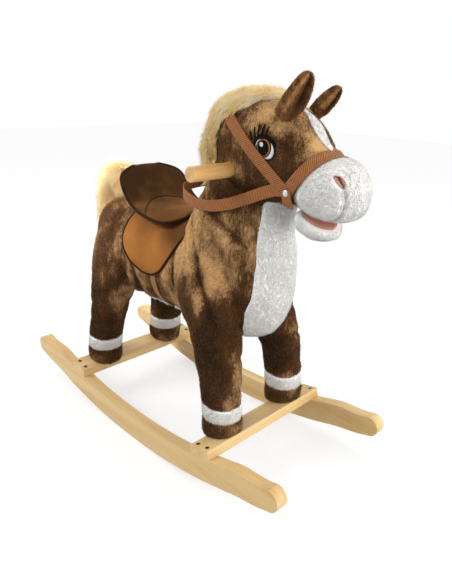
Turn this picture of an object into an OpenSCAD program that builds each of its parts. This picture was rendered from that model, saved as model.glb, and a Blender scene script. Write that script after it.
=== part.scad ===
// Plush rocking horse on a pair of wooden rockers. Sizes in millimetres, +Z up, floor at z = 0.
// The horse looks along -Y and its right side is on -X.

/* [Rockers] */
// Length of a rocker, tip to tip
rocker_length = 675; // [640:5:720]
// Thickness of a rocker board
rocker_thick = 21; // [18:0.5:25]
// Height of a rocker board at its middle
rocker_height = 42; // [38:1:50]
// Radius of the rolling edge
rocker_radius = 885; // [840:5:1000]
// Half length of the level stretch in the middle of the rolling edge
level_half = 8; // [4:1:14]
// Height of a rocker just before its rounded tip
tip_height = 35; // [30:1:38]
// How far the toe drops below the rolling curve
toe_drop = 8; // [4:0.5:10]
// Distance from the middle at which the toe leaves the rolling curve
toe_start = 245; // [235:1:260]

/* [Crossbars] */
// Length of a crossbar, which is the width of the base
crossbar_length = 280; // [264:2:320]
// Width of a crossbar
crossbar_width = 41; // [38:1:48]
// Thickness of a crossbar
crossbar_thick = 16.6; // [14:0.2:20]
// Distance between the crossbars, centre to centre
crossbar_spacing = 360; // [346:2:374]
// Depth of the flat seat that a crossbar has in each rocker
seat_depth = 0.5; // [0.4:0.1:2]
// Rounding of the crossbar's long edges
crossbar_round = 1.5; // [0.5:0.25:3]

/* [Screws] */
// Radius of a screw's shank
screw_r = 1.8; // [1.5:0.1:2.2]
// Radius of a countersunk head
screw_head_r = 3.6; // [3:0.1:4.2]
// Height of a countersunk head
screw_head_h = 2.4; // [2:0.1:3]
// Depth of the cross recess in a head
recess_depth = 1.4; // [1:0.1:1.8]
// Length of the screws that hold a crossbar to a rocker
crossbar_screw_length = 40; // [32:1:48]
// Distance of those screws from the end of the crossbar
screw_inset = 9; // [7:0.5:12]
// Distance between the two screws at each end
screw_pitch = 21; // [16:1:24]
// Length of the screws that hold a leg post to its crossbar
post_screw_length = 52; // [42:1:60]
// Distance between the two screws under each post
post_screw_pitch = 12; // [8:1:14]
// Gap around every screw and pin in its hole
pin_gap = 0.05; // [0.02:0.01:0.09]

/* [Inner frame] */
// Side of a square leg post
post_size = 22; // [18:1:24]
// Distance of a post's middle from the horse's centre plane
post_x = 66; // [62:1:70]
// How far a post's foot stands towards the horse's middle from the crossbar's centre line
post_inset = 3; // [1:1:8]
// Height of the bolsters' underside above the trunk's axis, negative below it
bolster_drop = -22; // [-30:1:-16]
// Height of a bolster
bolster_height = 28; // [22:1:32]
// Width of a bolster along the horse
bolster_width = 32; // [28:1:36]
// Length of a bolster across the horse
bolster_length = 146; // [142:2:150]
// Width of the spine board
spine_width = 84; // [70:2:90]
// Thickness of the spine board
spine_thick = 18; // [14:1:20]
// Length of the spine board ahead of the origin
spine_front = 152; // [150:1:158]
// Length of the spine board behind the origin
spine_rear = 188; // [184:1:190]
// Width of the neck post across the horse
neck_post_width = 56; // [48:2:62]
// Thickness of the neck post along the horse
neck_post_thick = 34; // [30:1:38]
// Height of the neck post above the handle's axis
neck_post_above = 26; // [20:1:30]

/* [Handle] */
// Radius of the handle dowel
handle_r = 11; // [9.5:0.5:12.5]
// Length of the handle dowel
handle_length = 250; // [230:2:280]
// Distance of the handle ahead of the origin
handle_front = 135; // [132:1:138]
// Height of the handle's axis above the trunk's axis
handle_rise = 176; // [170:1:182]
// Rounding of the handle's ends
handle_round = 2; // [1:0.5:3]

/* [Body] */
// Length of the trunk, chest to rump
trunk_length = 432; // [424:2:440]
// Width of the trunk
trunk_width = 156; // [150:2:164]
// Height of the trunk at the girth
trunk_height = 172; // [166:2:178]
// Height of the trunk's axis above the floor
trunk_lift = 312; // [306:1:320]
// Distance of the trunk's middle behind the origin
trunk_back = 10; // [6:1:14]
// Width of a hoof
hoof_width = 66; // [60:1:70]
// Distance of a hoof's middle from the centre plane
hoof_x = 77; // [74:1:80]
// Height of a hoof's top above its crossbar
hoof_height = 28; // [24:1:34]
// Height of a white cuff
cuff_height = 22; // [16:1:28]
// Thickness of the sewn-on pads: bib, belly panel and blaze
pad_thick = 3; // [2:0.25:4]
// Gap between neighbouring soft pieces, and around what they enclose
soft_gap = 0.3; // [0.2:0.05:0.5]

/* [Head] */
// Width of the head across the cheeks
head_width = 106; // [100:1:112]
// Width of the muzzle
muzzle_width = 102; // [98:1:106]
// Width of the lower jaw
jaw_width = 72; // [66:1:76]
// Opening of the mouth at rest, in degrees
mouth_open = 13; // [12:0.5:15]
// How far the jaw closes from rest, in degrees
jaw_close = 4; // [2:0.5:4]
// How far the jaw opens from rest, in degrees
jaw_drop = 8; // [4:0.5:9]
// Thickness of the pink mouth linings
lining_thick = 1.6; // [1:0.1:2]
// Radius of the jaw pin
jaw_pin_r = 2; // [1.5:0.1:2.5]
// Length of an ear from its root
ear_length = 66; // [60:1:72]
// Width of an ear
ear_width = 34; // [30:1:38]

/* [Tail] */
// Radius of the peg that the tail turns on
tail_peg_r = 5; // [4:0.25:6]
// Distance of the tail's axis behind the origin
tail_back = 190; // [188:1:194]
// How far the tail swings to each side, in degrees
tail_swing = 15; // [8:1:18]
// Half width of the tail's fur
tail_half = 27; // [24:1:30]

/* [Saddle] */
// Width of the seat
seat_width = 144; // [136:2:152]
// Thickness of the seat's padding
seat_thick = 9; // [7:0.5:12]
// Thickness of the flap leather
flap_thick = 3; // [2:0.25:4]
// Length of the flaps along the horse
flap_length = 146; // [136:2:156]
// Width of the girth strap
girth_width = 14; // [10:1:18]

/* [Bridle] */
// Width of the webbing
web_width = 14; // [12:0.5:18]
// Thickness of the webbing
web_thick = 1.6; // [1.2:0.1:2.4]
// Radius of a rivet's head
rivet_r = 4; // [3:0.25:5]

/* [Sound and power] */
// Radius of the press button in the right ear
button_r = 6; // [5:0.25:7]
// Travel of the press button
button_travel = 1.5; // [1:0.1:2]
// Radius of the sound module
module_r = 10; // [9.5:0.25:11]
// Radius of a battery cell
cell_r = 7.25; // [5.25:0.25:7.25]
// Length of a battery cell
cell_length = 50.5; // [44.5:0.5:50.5]
// Wall of the battery box
box_wall = 2; // [1.5:0.25:3]

/* [Hidden] */
sides = 24;
far = 400;

// ---- Wooden base -------------------------------------------------------------------------------
function ease(t) = let (u = min(1, max(0, t))) u * u * (3 - 2 * u);
function roll_z(y) = let (d = max(0, y - level_half))
    rocker_radius - sqrt(rocker_radius * rocker_radius - d * d);
toe_end = rocker_length / 2 - tip_height / 2;
function toe_share(y) = ease((y - toe_start) / (toe_end - toe_start));
function low_edge(y) = roll_z(y) - toe_drop * toe_share(y);
function top_edge(y) = low_edge(y) + rocker_height + (tip_height - rocker_height) * toe_share(y);
edge_steps = 22;
edge_y = [for (i = [0:edge_steps]) level_half + (toe_end - level_half) * i / edge_steps];
tip_z = low_edge(toe_end) + tip_height / 2;
half_outline = concat([for (y = edge_y) [y, low_edge(y)]],
    [for (a = [-75:15:75]) [toe_end + tip_height / 2 * cos(a), tip_z + tip_height / 2 * sin(a)]],
    [for (i = [edge_steps:-1:0]) [edge_y[i], top_edge(edge_y[i])]]);
rocker_outline = concat(half_outline,
    [for (i = [len(half_outline) - 1:-1:0]) [-half_outline[i][0], half_outline[i][1]]]);

bar_y = crossbar_spacing / 2;
bar_slope = asin((bar_y - level_half) / rocker_radius);
bar_z = roll_z(bar_y) + rocker_height - seat_depth;

// Moves children from a crossbar's own frame, its underside at z = 0; end is -1 in front and 1 behind.
module on_crossbar(end) translate([0, end * bar_y, bar_z]) rotate([end * bar_slope, 0, 0]) children();

module screw(length) {
    difference() {
        union() {
            translate([0, 0, -length]) cylinder(r = screw_r, h = length - screw_head_h / 2, $fn = 24);
            rotate_extrude($fn = 32)
                polygon([[0, 0], [screw_head_r, 0], [screw_r, -screw_head_h], [0, -screw_head_h]]);
        }
        for (a = [0, 90]) rotate(a) translate([-screw_head_r * 0.6, -0.4, -recess_depth])
            cube([screw_head_r * 1.2, 0.8, recess_depth + 1]);
    }
}
// Countersunk hole for a screw whose head is flush with z = 0.
module screw_hole(length) {
    translate([0, 0, -length - 1]) cylinder(r = screw_r + pin_gap, h = length + 1, $fn = 24);
    rotate_extrude($fn = 32) polygon([[0, 1], [screw_head_r + pin_gap + 0.2, 1],
        [screw_head_r + pin_gap, 0], [screw_r + pin_gap, -screw_head_h], [0, -screw_head_h]]);
}
module at_crossbar_screws(end) {
    on_crossbar(end) for (x = [-1, 1], y = [-1, 1])
        translate([x * (crossbar_length / 2 - screw_inset), y * screw_pitch / 2, crossbar_thick])
            children();
}
module at_post_screws(end) {
    on_crossbar(end) for (x = [-1, 1], s = [-1, 1])
        translate([x * post_x + s * post_screw_pitch / 2, -end * post_inset, 0]) rotate([180, 0, 0])
            children();
}
module rocker(side) {
    color("burlywood") difference() {
        translate([side * (crossbar_length - rocker_thick) / 2 - rocker_thick / 2, 0, 0])
            rotate([90, 0, 90]) linear_extrude(rocker_thick) polygon(rocker_outline);
        for (end = [-1, 1]) {
            on_crossbar(end) translate([-crossbar_length / 2 - 1, -crossbar_width / 2 - 0.2, 0])
                cube([crossbar_length + 2, crossbar_width + 0.4, rocker_height]);
            at_crossbar_screws(end) screw_hole(crossbar_screw_length);
        }
    }
}
module rocker_right() rocker(-1);
module rocker_left() rocker(1);
function corner(cx, cy, r, a0) = [for (a = [0:30:90]) [cx + r * cos(a0 + a), cy + r * sin(a0 + a)]];
bar_section = let (r = crossbar_round, w = crossbar_width, t = crossbar_thick) concat(
    [[-w / 2, 0], [w / 2, 0]], corner(w / 2 - r, t - r, r, 0), corner(r - w / 2, t - r, r, 90));
module crossbar(end) {
    color("wheat") difference() {
        on_crossbar(end) translate([-crossbar_length / 2, 0, 0]) rotate([90, 0, 90])
            linear_extrude(crossbar_length) polygon(bar_section);
        at_crossbar_screws(end) screw_hole(crossbar_screw_length);
        at_post_screws(end) screw_hole(post_screw_length);
    }
}
module front_crossbar() crossbar(-1);
module rear_crossbar() crossbar(1);
module crossbar_screws() color("dimgray") for (end = [-1, 1]) at_crossbar_screws(end)
    screw(crossbar_screw_length);
module post_screws() color("dimgray") for (end = [-1, 1]) at_post_screws(end) screw(post_screw_length);

// ---- Inner frame -------------------------------------------------------------------------------
bolster_z = trunk_lift + bolster_drop;
spine_z = bolster_z + bolster_height;
spine_top = spine_z + spine_thick;
foot_y = bar_y - post_inset * cos(bar_slope) - crossbar_thick * sin(bar_slope);
foot_z = bar_z - post_inset * sin(bar_slope) + crossbar_thick * cos(bar_slope);
// Distance from the origin of a leg post's axis at height z
function post_axis(z) = foot_y - (z - foot_z) * tan(bar_slope);
bolster_y = post_axis(bolster_z);
handle_z = trunk_lift + handle_rise;
bolster_screw_length = bolster_height + 22;
neck_screw_length = bolster_height + spine_thick + 24;
handle_screw_length = neck_post_above + 6;

// A leg post, grown by gap on each side; its top is cut level under the bolster.
module post(side, end, gap = 0) {
    difference() {
        on_crossbar(end) translate([side * post_x - post_size / 2 - gap,
            -end * post_inset - post_size / 2 - gap,
            crossbar_thick]) cube([post_size + 2 * gap, post_size + 2 * gap, far]);
        translate([-far, -far, bolster_z]) cube([2 * far, 2 * far, 2 * far]);
    }
}
module leg_post(side, end) {
    color("wheat") difference() {
        post(side, end);
        at_post_screws(end) screw_hole(post_screw_length);
        at_bolster_screws() screw_hole(bolster_screw_length);
    }
}
module front_right_post() leg_post(-1, -1);
module front_left_post() leg_post(1, -1);
module rear_right_post() leg_post(-1, 1);
module rear_left_post() leg_post(1, 1);

module at_bolster_screws() for (end = [-1, 1], x = [-1, 1])
    translate([x * post_x, end * bolster_y, spine_z]) children();
module at_spine_screws() for (x = [-1, 1]) translate([x * spine_width / 4, bolster_y, spine_top])
    children();
module at_neck_screws() for (x = [-1, 1])
    translate([x * neck_post_width / 3, -handle_front, bolster_z]) rotate([180, 0, 0]) children();
module at_handle_screw() translate([0, -handle_front, handle_z + neck_post_above]) children();

module bolster_block(end, gap = 0)
    translate([-bolster_length / 2 - gap, end * bolster_y - bolster_width / 2 - gap,
    bolster_z - gap]) cube([bolster_length + 2 * gap, bolster_width + 2 * gap, bolster_height + 2 * gap]);
module bolster(end) {
    color("wheat") difference() {
        bolster_block(end);
        at_bolster_screws() screw_hole(bolster_screw_length);
        if (end > 0) at_spine_screws() screw_hole(bolster_height);
        if (end < 0) at_neck_screws() screw_hole(neck_screw_length);
    }
}
module front_bolster() bolster(-1);
module rear_bolster() bolster(1);
module spine_block(gap = 0) translate([-spine_width / 2 - gap, -spine_front - gap, spine_z - gap])
    cube([spine_width + 2 * gap, spine_front + spine_rear + 2 * gap, spine_thick + 2 * gap]);
module spine_board() {
    color("wheat") difference() {
        spine_block();
        at_spine_screws() screw_hole(bolster_height);
        at_neck_screws() screw_hole(neck_screw_length);
    }
}
module neck_block(gap = 0)
    translate([-neck_post_width / 2 - gap, -handle_front - neck_post_thick / 2 - gap, spine_top])
    cube([neck_post_width + 2 * gap, neck_post_thick + 2 * gap,
        handle_z + neck_post_above - spine_top + gap]);
module neck_post() {
    color("wheat") difference() {
        neck_block();
        at_neck_screws() screw_hole(neck_screw_length);
        at_handle_screw() screw_hole(handle_screw_length);
        handle_rod(pin_gap);
    }
}
module frame_screws() {
    color("dimgray") {
        at_bolster_screws() screw(bolster_screw_length);
        at_spine_screws() screw(bolster_height);
        at_neck_screws() screw(neck_screw_length);
        at_handle_screw() screw(handle_screw_length);
    }
}
module handle_rod(gap) translate([-handle_length / 2, -handle_front, handle_z]) rotate([0, 90, 0])
    cylinder(r = handle_r + gap, h = handle_length, $fn = 48);
module handle_bar() {
    color("khaki") difference() {
        translate([0, -handle_front, handle_z]) rotate([0, 90, 0]) rotate_extrude($fn = 48) polygon(concat(
            [[0, -handle_length / 2]], corner(handle_r - handle_round, handle_round - handle_length / 2,
                handle_round, -90),
            corner(handle_r - handle_round, handle_length / 2 - handle_round, handle_round, 0),
                [[0, handle_length / 2]]));
        at_handle_screw() screw_hole(handle_screw_length);
    }
}

// ---- Jaw and tail drives -----------------------------------------------------------------------
jaw_y = -228;
jaw_z = trunk_lift + 145;
bracket_thick = 12;
bracket_nose = 6;
bracket_y = -handle_front - neck_post_thick / 2;
bracket_top = jaw_z + 44;
module on_jaw(angle = 0) translate([0, jaw_y, jaw_z]) rotate([angle, 0, 0]) children();
module bracket_plate(gap = 0) translate([-bracket_thick / 2 - gap, 0, 0]) rotate([90, 0, 90])
    linear_extrude(bracket_thick + 2 * gap) polygon([[bracket_y + gap, bracket_top + gap],
        [bracket_y + gap, bracket_top - 30], [jaw_y + 10, jaw_z - bracket_nose - gap],
        [jaw_y - 3, jaw_z - bracket_nose - gap], [jaw_y - bracket_nose - gap, jaw_z - 3],
        [jaw_y - bracket_nose - gap, jaw_z + 8], [jaw_y + 6, bracket_top + gap]]);
module head_bracket() color("wheat") difference() {
    bracket_plate();
    jaw_rod(pin_gap);
}
jaw_pin_length = 34;
module jaw_rod(gap = 0) translate([-jaw_pin_length / 2, jaw_y, jaw_z]) rotate([0, 90, 0])
    cylinder(r = jaw_pin_r + gap, h = jaw_pin_length, $fn = 32);
module jaw_pin() color("silver") jaw_rod();
motor_size = [24, 40, 26];
module jaw_motor_block(gap = 0) translate([bracket_thick / 2, bracket_y - 10 - motor_size[1] - gap,
    bracket_top - motor_size[2] - gap]) cube([motor_size[0] + gap, motor_size[1] + 2 * gap,
        motor_size[2] + 2 * gap]);
module jaw_motor() color("gainsboro") jaw_motor_block();
tail_box = [40, 38, 30];
module tail_motor_block(gap = 0) translate([-tail_box[0] / 2 - gap, tail_back - tail_box[1] / 2 - gap,
    spine_top])
    cube([tail_box[0] + 2 * gap, tail_box[1] + 2 * gap, tail_box[2] + gap]);
peg_z = spine_top + 8;
peg_top = trunk_lift + 104;
module tail_rod(gap = 0, top = peg_top) translate([0, tail_back, peg_z])
    cylinder(r = tail_peg_r + gap, h = top - peg_z, $fn = 32);
module tail_motor() color("gainsboro") difference() {
    tail_motor_block();
    tail_rod(pin_gap);
}
module tail_peg() color("gainsboro") tail_rod();

// ---- Battery box -------------------------------------------------------------------------------
box_y = 56;
box_z = trunk_lift - 78;
box_size = [4 * cell_r + 3 * box_wall, cell_length + 2 * box_wall + 6, 2 * cell_r + 2 * box_wall + 1];
module box_block(gap = 0) translate([-box_size[0] / 2 - gap, box_y - box_size[1] / 2 - gap,
    box_z - box_wall - gap])
    cube([box_size[0] + 2 * gap, box_size[1] + 2 * gap, box_size[2] + box_wall + 2 * gap]);
module at_cells() for (x = [-1, 1])
    translate([x * (cell_r + box_wall / 2), box_y, box_z + box_wall / 2 + cell_r]) children();
module battery_box() color("dimgray") difference() {
    translate([-box_size[0] / 2, box_y - box_size[1] / 2, box_z]) cube(box_size);
    at_cells() translate([-cell_r - pin_gap, -cell_length / 2 - 0.3, -cell_r - box_wall])
        cube([2 * (cell_r + pin_gap), cell_length + 0.6, 2 * cell_r + box_wall + pin_gap]);
}
module battery_cover() color("dimgray") translate([-box_size[0] / 2, box_y - box_size[1] / 2,
    box_z - box_wall])
    cube([box_size[0], box_size[1], box_wall]);
module battery_cells() color("goldenrod") at_cells() rotate([90, 0, 0])
    cylinder(r = cell_r, h = cell_length, center = true, $fn = 32);

// ---- Soft bodies: chains of oval slices --------------------------------------------------------
// A slice is [centre, half sizes, turn, fullness, heaviness below].
function oval(s, gap) = [for (i = [0:sides - 1])
    let (a = 360 * i / sides, p = 2 / s[3], c = cos(a), d = sin(a))
    [(s[1][0] * (1 - s[4] * d) + gap) * sign(c) * pow(abs(c), p), (s[1][1] + gap) * sign(d) * pow(abs(d),
        p)]];
module slice(s, gap) translate(s[0]) rotate(s[2]) linear_extrude(0.2, center = true) polygon(oval(s, gap));
module chain(slices, gap = 0) for (i = [0:len(slices) - 2]) hull() {
    slice(slices[i], gap);
    slice(slices[i + 1], gap);
}
// Trunk, rump to chest: [place along the length, width share, height share, rise of the centre]
trunk_shape = [[1, 0.2, 0.24, 10], [0.98, 0.5, 0.54, 10], [0.92, 0.77, 0.79, 8], [0.79, 0.93, 0.95, 3],
    [0.6, 0.99, 1, -2], [0.37, 1, 1, -5], [0.09, 0.98, 0.98, -6], [-0.18, 0.97, 1, -5], [-0.42, 0.98,
        1.08, 0],
    [-0.63, 0.96, 1.14, 6], [-0.79, 0.86, 1.14, 10], [-0.9, 0.7, 1.07, 14], [-0.97, 0.48, 0.88, 18],
    [-1, 0.26, 0.58, 20]];
function trunk_slices(gap) = [for (t = trunk_shape)
    [[0, trunk_back + t[0] * (trunk_length / 2 + gap), trunk_lift + t[3]],
     [t[1] * trunk_width / 2, t[2] * trunk_height / 2], [90, 0, 0], 2.15, 0]];
module trunk_form(gap = 0) chain(trunk_slices(gap), gap);

// Neck, upwards: [height above the trunk's axis, place along the horse, half width, half depth]
neck_shape = [[14, -102, 74, 98], [48, -105, 72, 98], [80, -112, 67, 92], [112, -122, 60, 84], [142, -131,
    53, 75],
    [172, -138, 49, 66], [205, -140, 47, 60]];
module neck_form(gap = 0) chain([for (n = neck_shape)
    [[0, n[1], trunk_lift + n[0]], [n[2], n[3]], [0, 0, 0], 2.1, 0]], gap);

// Head, poll to nose: [place, height above the trunk's axis, width share, half height, lean]
head_shape = [[-72, 231, 0.28, 20, 0], [-80, 230, 0.62, 37, 0], [-102, 228, 0.84, 50, 0], [-132, 226,
    0.95, 56, 0],
    [-162, 219, 1, 61, 8], [-190, 210, 1, 63, 16], [-216, 195, 0.97, 62, 24], [-238, 184, 0.92, 54, 30],
    [-260.4, 175.5, 0.88, 45, 32]];
module head_form(gap = 0) chain([for (h = head_shape)
    [[0, h[0], trunk_lift + h[1]], [h[2] * head_width / 2, h[3]], [90 + h[4], 0, 0], 2.3, 0.08]], gap);

muzzle_shape = [[-260.9, 175.1, 0.93, 46, 32], [-270, 171, 0.98, 47, 29], [-284, 165, 1, 46, 22],
    [-298, 160, 0.96, 42, 17], [-311, 155, 0.85, 35, 13], [-322, 152, 0.62, 24, 10], [-328, 150, 0.24, 9,
        8]];
module muzzle_form(gap = 0) chain([for (m = muzzle_shape)
    [[0, m[0], trunk_lift + m[1]], [m[2] * muzzle_width / 2, m[3]], [90 + m[4], 0, 0], 2.25, 0]], gap);

// Lower jaw in the frame of its pin: [forward, up, width share, half height, lean]
jaw_shape = [[-12, -17, 0.62, 7, 28], [-18, -22, 0.84, 12, 28], [-28, -27, 0.97, 16, 26], [-40, -32, 1,
    16, 25],
    [-51, -37, 0.88, 13, 25], [-59, -41, 0.58, 8, 25], [-63, -43, 0.24, 4, 25]];
module jaw_form(gap = 0) chain([for (j = jaw_shape)
    [[0, j[0], j[1]], [j[2] * jaw_width / 2, j[3]], [90 + j[4], 0, 0], 2.2, 0]], gap);
upper_lip = 17;
lower_lip = upper_lip + mouth_open;
// Everything above (or below) a plane through the jaw pin that falls forward by an angle.
module above_plane(angle, lift = 0) rotate([angle, 0, 0]) translate([-far, -far, lift])
    cube([2 * far, 2 * far, far]);
module below_plane(angle, lift = 0) rotate([angle, 0, 0]) translate([-far, -far, lift - far])
    cube([2 * far, 2 * far, far]);
lever_bar = [3.5, 44, 6];
module lever_form(gap = 0) rotate([lower_lip, 0, 0]) for (side = [-1, 1]) hull() {
    translate([side * (bracket_thick / 2 + lever_bar[0] / 2 + 0.6), 0, 0]) rotate([0, 90, 0])
        cylinder(r = jaw_pin_r + 2.5 + gap, h = lever_bar[0] + 2 * gap, center = true, $fn = 24);
    translate([side * (bracket_thick / 2 + lever_bar[0] / 2 + 0.6), -lever_bar[1] + 8, -9])
        rotate([0, 90, 0])
        cylinder(r = lever_bar[2] / 2 + gap, h = lever_bar[0] + 2 * gap, center = true, $fn = 24);
}
lever_width = bracket_thick + 2 * lever_bar[0] + 1.2;
module jaw_lever() color("gainsboro") on_jaw() difference() {
    union() {
        lever_form();
        rotate([lower_lip, 0, 0]) translate([-lever_width / 2, 2 - lever_bar[1], -12])
            cube([lever_width, 10, lever_bar[2]]);
    }
    rotate([0, 90, 0]) cylinder(r = jaw_pin_r + pin_gap, h = 2 * lever_width, center = true, $fn = 32);
}
// Room that the jaw and its lever need while they move; outlines run [forward, up] from the pin.
slot_outline = [[6, -4], [6, 4], [0, 6.5], [-7, 5.5], [-38, -12], [-38, -50], [-22, -36]];
mouth_outline = [[-9, -9], [-14, -5.5], [-80, -35], [-80, -70], [-4, -40]];
module across(outline, width) translate([-width / 2, 0, 0]) rotate([90, 0, 90]) linear_extrude(width)
    polygon(outline);
module jaw_room() on_jaw() {
    across(slot_outline, lever_width + 2);
    across(mouth_outline, jaw_width + 4);
}
module lever_room(gap) {
    lever_form(gap);
    rotate([lower_lip, 0, 0]) translate([-lever_width / 2 - gap, 2 - lever_bar[1] - gap, -12 - gap])
        cube([lever_width + 2 * gap, 10 + 2 * gap, lever_bar[2] + 2 * gap]);
}

// ---- Ears and the press-to-play sound module ---------------------------------------------------
ear_lean = 42;
ear_fold = 14;
fold_tip = -5;
ear_root = [33, -216, trunk_lift + 256];
// Ear, root to tip: [share of the length, width share, half thickness, shift back]
ear_shape = [[0, 0.84, 12, 0], [0.2, 0.98, 13.5, 0], [0.45, 1, 12.5, 1], [0.7, 0.8, 10, 2], [0.88, 0.52,
    7, 3],
    [0.97, 0.28, 4.5, 3], [1, 0.12, 2.5, 3]];
module on_ear() translate(ear_root) rotate([ear_lean, 6, 0]) children();
// The left ear's tip is folded over, so it stands lower.
module ear_form(side) mirror([side < 0 ? 1 : 0, 0, 0]) on_ear() chain([for (e = ear_shape)
    [[0, e[3] + (side > 0 ? fold_tip * e[0] : 0), e[0] * (ear_length - max(0, side) * ear_fold)],
        [e[1] * ear_width / 2, e[2]], [0, 0, 0], 2, 0]]);
module_length = 12;
button_length = 6;
module_at = [-36, -227, trunk_lift + 269];
// Sound module with its button, lying across the ear; the button faces the horse's right.
module on_module() translate(module_at) rotate([0, -90, 0]) children();
module sound_module() color("gainsboro") on_module() difference() {
    translate([0, 0, -module_length / 2]) cylinder(r = module_r, h = module_length, $fn = 40);
    translate([0, 0, module_length / 2 - button_length + 1 - button_travel])
        cylinder(r = button_r + pin_gap, h = button_length + button_travel, $fn = 32);
}
module sound_button() color("crimson") on_module()
    translate([0, 0, module_length / 2 - button_length + 1.5])
    cylinder(r = button_r, h = button_length, $fn = 32);
wire_room_r = 3;
// Room for the module and its button, with a duct for the wire down into the head
module module_room() {
    on_module() {
        translate([0, 0, -module_length / 2 - soft_gap])
            cylinder(r = module_r + soft_gap, h = module_length + 2 * soft_gap, $fn = 40);
        cylinder(r = button_r + soft_gap, h = module_length / 2 + 2, $fn = 32);
    }
    translate(module_at) rotate([ear_lean, 0, 0]) translate([0, 0, -40])
        cylinder(r = wire_room_r, h = 36, $fn = 16);
}
module ear(side) color("saddlebrown") difference() {
    ear_form(side);
    head_form(soft_gap);
    if (side < 0) module_room();
}
module right_ear() ear(-1);
module left_ear() ear(1);

// ---- Plush cover -------------------------------------------------------------------------------
// Everything hard that the stuffing holds
module frame_room() {
    for (side = [-1, 1], end = [-1, 1]) post(side, end, soft_gap);
    for (end = [-1, 1]) bolster_block(end, soft_gap);
    spine_block(soft_gap);
    neck_block(soft_gap);
    handle_rod(soft_gap);
    bracket_plate(soft_gap);
    jaw_motor_block(soft_gap);
    tail_motor_block(soft_gap);
    tail_rod(soft_gap);
    box_block(soft_gap);
}
module torso() color("saddlebrown") difference() {
    trunk_form();
    frame_room();
    translate([0, 0, -box_size[2]]) box_block(soft_gap);
}
module neck() color("saddlebrown") difference() {
    neck_form();
    trunk_form(soft_gap);
    head_form(soft_gap);
    frame_room();
}
module head() color("saddlebrown") difference() {
    head_form();
    frame_room();
    jaw_room();
    on_jaw() rotate([0, 90, 0])
        cylinder(r = jaw_pin_r + soft_gap, h = jaw_pin_length + 2 * soft_gap, center = true, $fn = 24);
    module_room();
}
// Legs, hoof to shoulder: [share of the height, shift in x, shift outwards, half width, half depth]
front_leg_shape = [[0, 0, -11, 0, 0], [0.09, 0, -7, 0, 0], [0.2, 0, -5, -1, 0.5], [0.3, 0, -6, 0, 3],
    [0.44, -2, -10, 1, 7], [0.59, -6, -15, 2, 14], [0.7, -10, -19, 3, 21], [0.8, -15, -22, 2, 26],
    [0.91, -21, -23, -1, 23], [1, -27, -20, -7, 13]];
rear_leg_shape = [[0, 0, 1, 0, 0], [0.09, 0, 6, 1, 1], [0.18, 0, 9, 0, 1.5], [0.27, -1, 12, 0, 2.5],
    [0.38, -3, 13, 0, 4], [0.5, -6, 14, 1, 8], [0.61, -10, 14, 3, 15], [0.7, -14, 15, 3, 21],
    [0.8, -19, 22, 1, 22], [0.91, -25, 31, -2, 17], [1, -31, 39, -7, 7]];
leg_foot = foot_z - 12;
leg_top = trunk_lift + 33;
function leg_slices(side, end) = [for (g = end < 0 ? front_leg_shape : rear_leg_shape)
    let (z = leg_foot + g[0] * (leg_top - leg_foot))
    [[side * (hoof_x + g[1]), end * (post_axis(z) + g[2]), z],
     [hoof_width / 2 + g[3], hoof_width / 2 + g[4]], [0, 0, 0], 2.1, 0]];
// The length of a leg between two heights, hollowed for its post
module leg_part(side, end, low, high, swell = 0) difference() {
    chain(leg_slices(side, end), swell);
    translate([-far, -far, low - far]) cube([2 * far, 2 * far, far]);
    translate([-far, -far, high]) cube([2 * far, 2 * far, far]);
    on_crossbar(end) translate([-far, -far, crossbar_thick - far + soft_gap]) cube([2 * far, 2 * far, far]);
    post(side, end, soft_gap);
    if (high > bolster_z) {
        trunk_form(soft_gap);
        bolster_block(end, soft_gap);
    }
}
hoof_top = foot_z + hoof_height;
cuff_top = hoof_top + cuff_height;
module leg(side, end) color("saddlebrown") leg_part(side, end, cuff_top + soft_gap, far);
module front_right_leg() leg(-1, -1);
module front_left_leg() leg(1, -1);
module rear_right_leg() leg(-1, 1);
module rear_left_leg() leg(1, 1);
module cuffs(end) color("white") for (side = [-1, 1]) leg_part(side, end, hoof_top + soft_gap, cuff_top, 1);
module front_cuffs() cuffs(-1);
module rear_cuffs() cuffs(1);
module hooves(end) color("saddlebrown") for (side = [-1, 1]) leg_part(side, end, 0, hoof_top);
module front_hooves() hooves(-1);
module rear_hooves() hooves(1);

function both_sides(half) = concat(half, [for (i = [len(half) - 1:-1:0]) [-half[i][0], half[i][1]]]);
// Upright prism along Y (or along X) with an outline in the plane across it
module along_y(outline, from, to) translate([0, to, trunk_lift]) rotate([90, 0, 0])
    linear_extrude(to - from) polygon(outline);
module along_x(outline) translate([-far, 0, trunk_lift]) rotate([90, 0, 90]) linear_extrude(2 * far)
    polygon(outline);

bib_outline = both_sides([[40, 138], [43, 118], [47, 70], [52, 15], [53, -30], [46, -62], [26, -88]]);
bib_back = -112;
module body_form(gap) {
    trunk_form(gap);
    neck_form(gap);
}
module bib() color("white") difference() {
    intersection() {
        body_form(soft_gap + pad_thick);
        along_y(bib_outline, -far, bib_back);
    }
    body_form(soft_gap);
    head_form(soft_gap);
}
belly_half = 30;
saddle_y = 26;
girth_y = saddle_y - 12;
// The white belly, in two pieces with the girth strap between them
module belly_part(from, to) color("white") difference() {
    intersection() {
        trunk_form(soft_gap + pad_thick);
        translate([-belly_half, from, 0]) cube([2 * belly_half, to - from, trunk_lift - 50]);
    }
    trunk_form(soft_gap);
}
module belly_panel() belly_part(bib_back + soft_gap, girth_y - girth_width / 2 - soft_gap);
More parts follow.
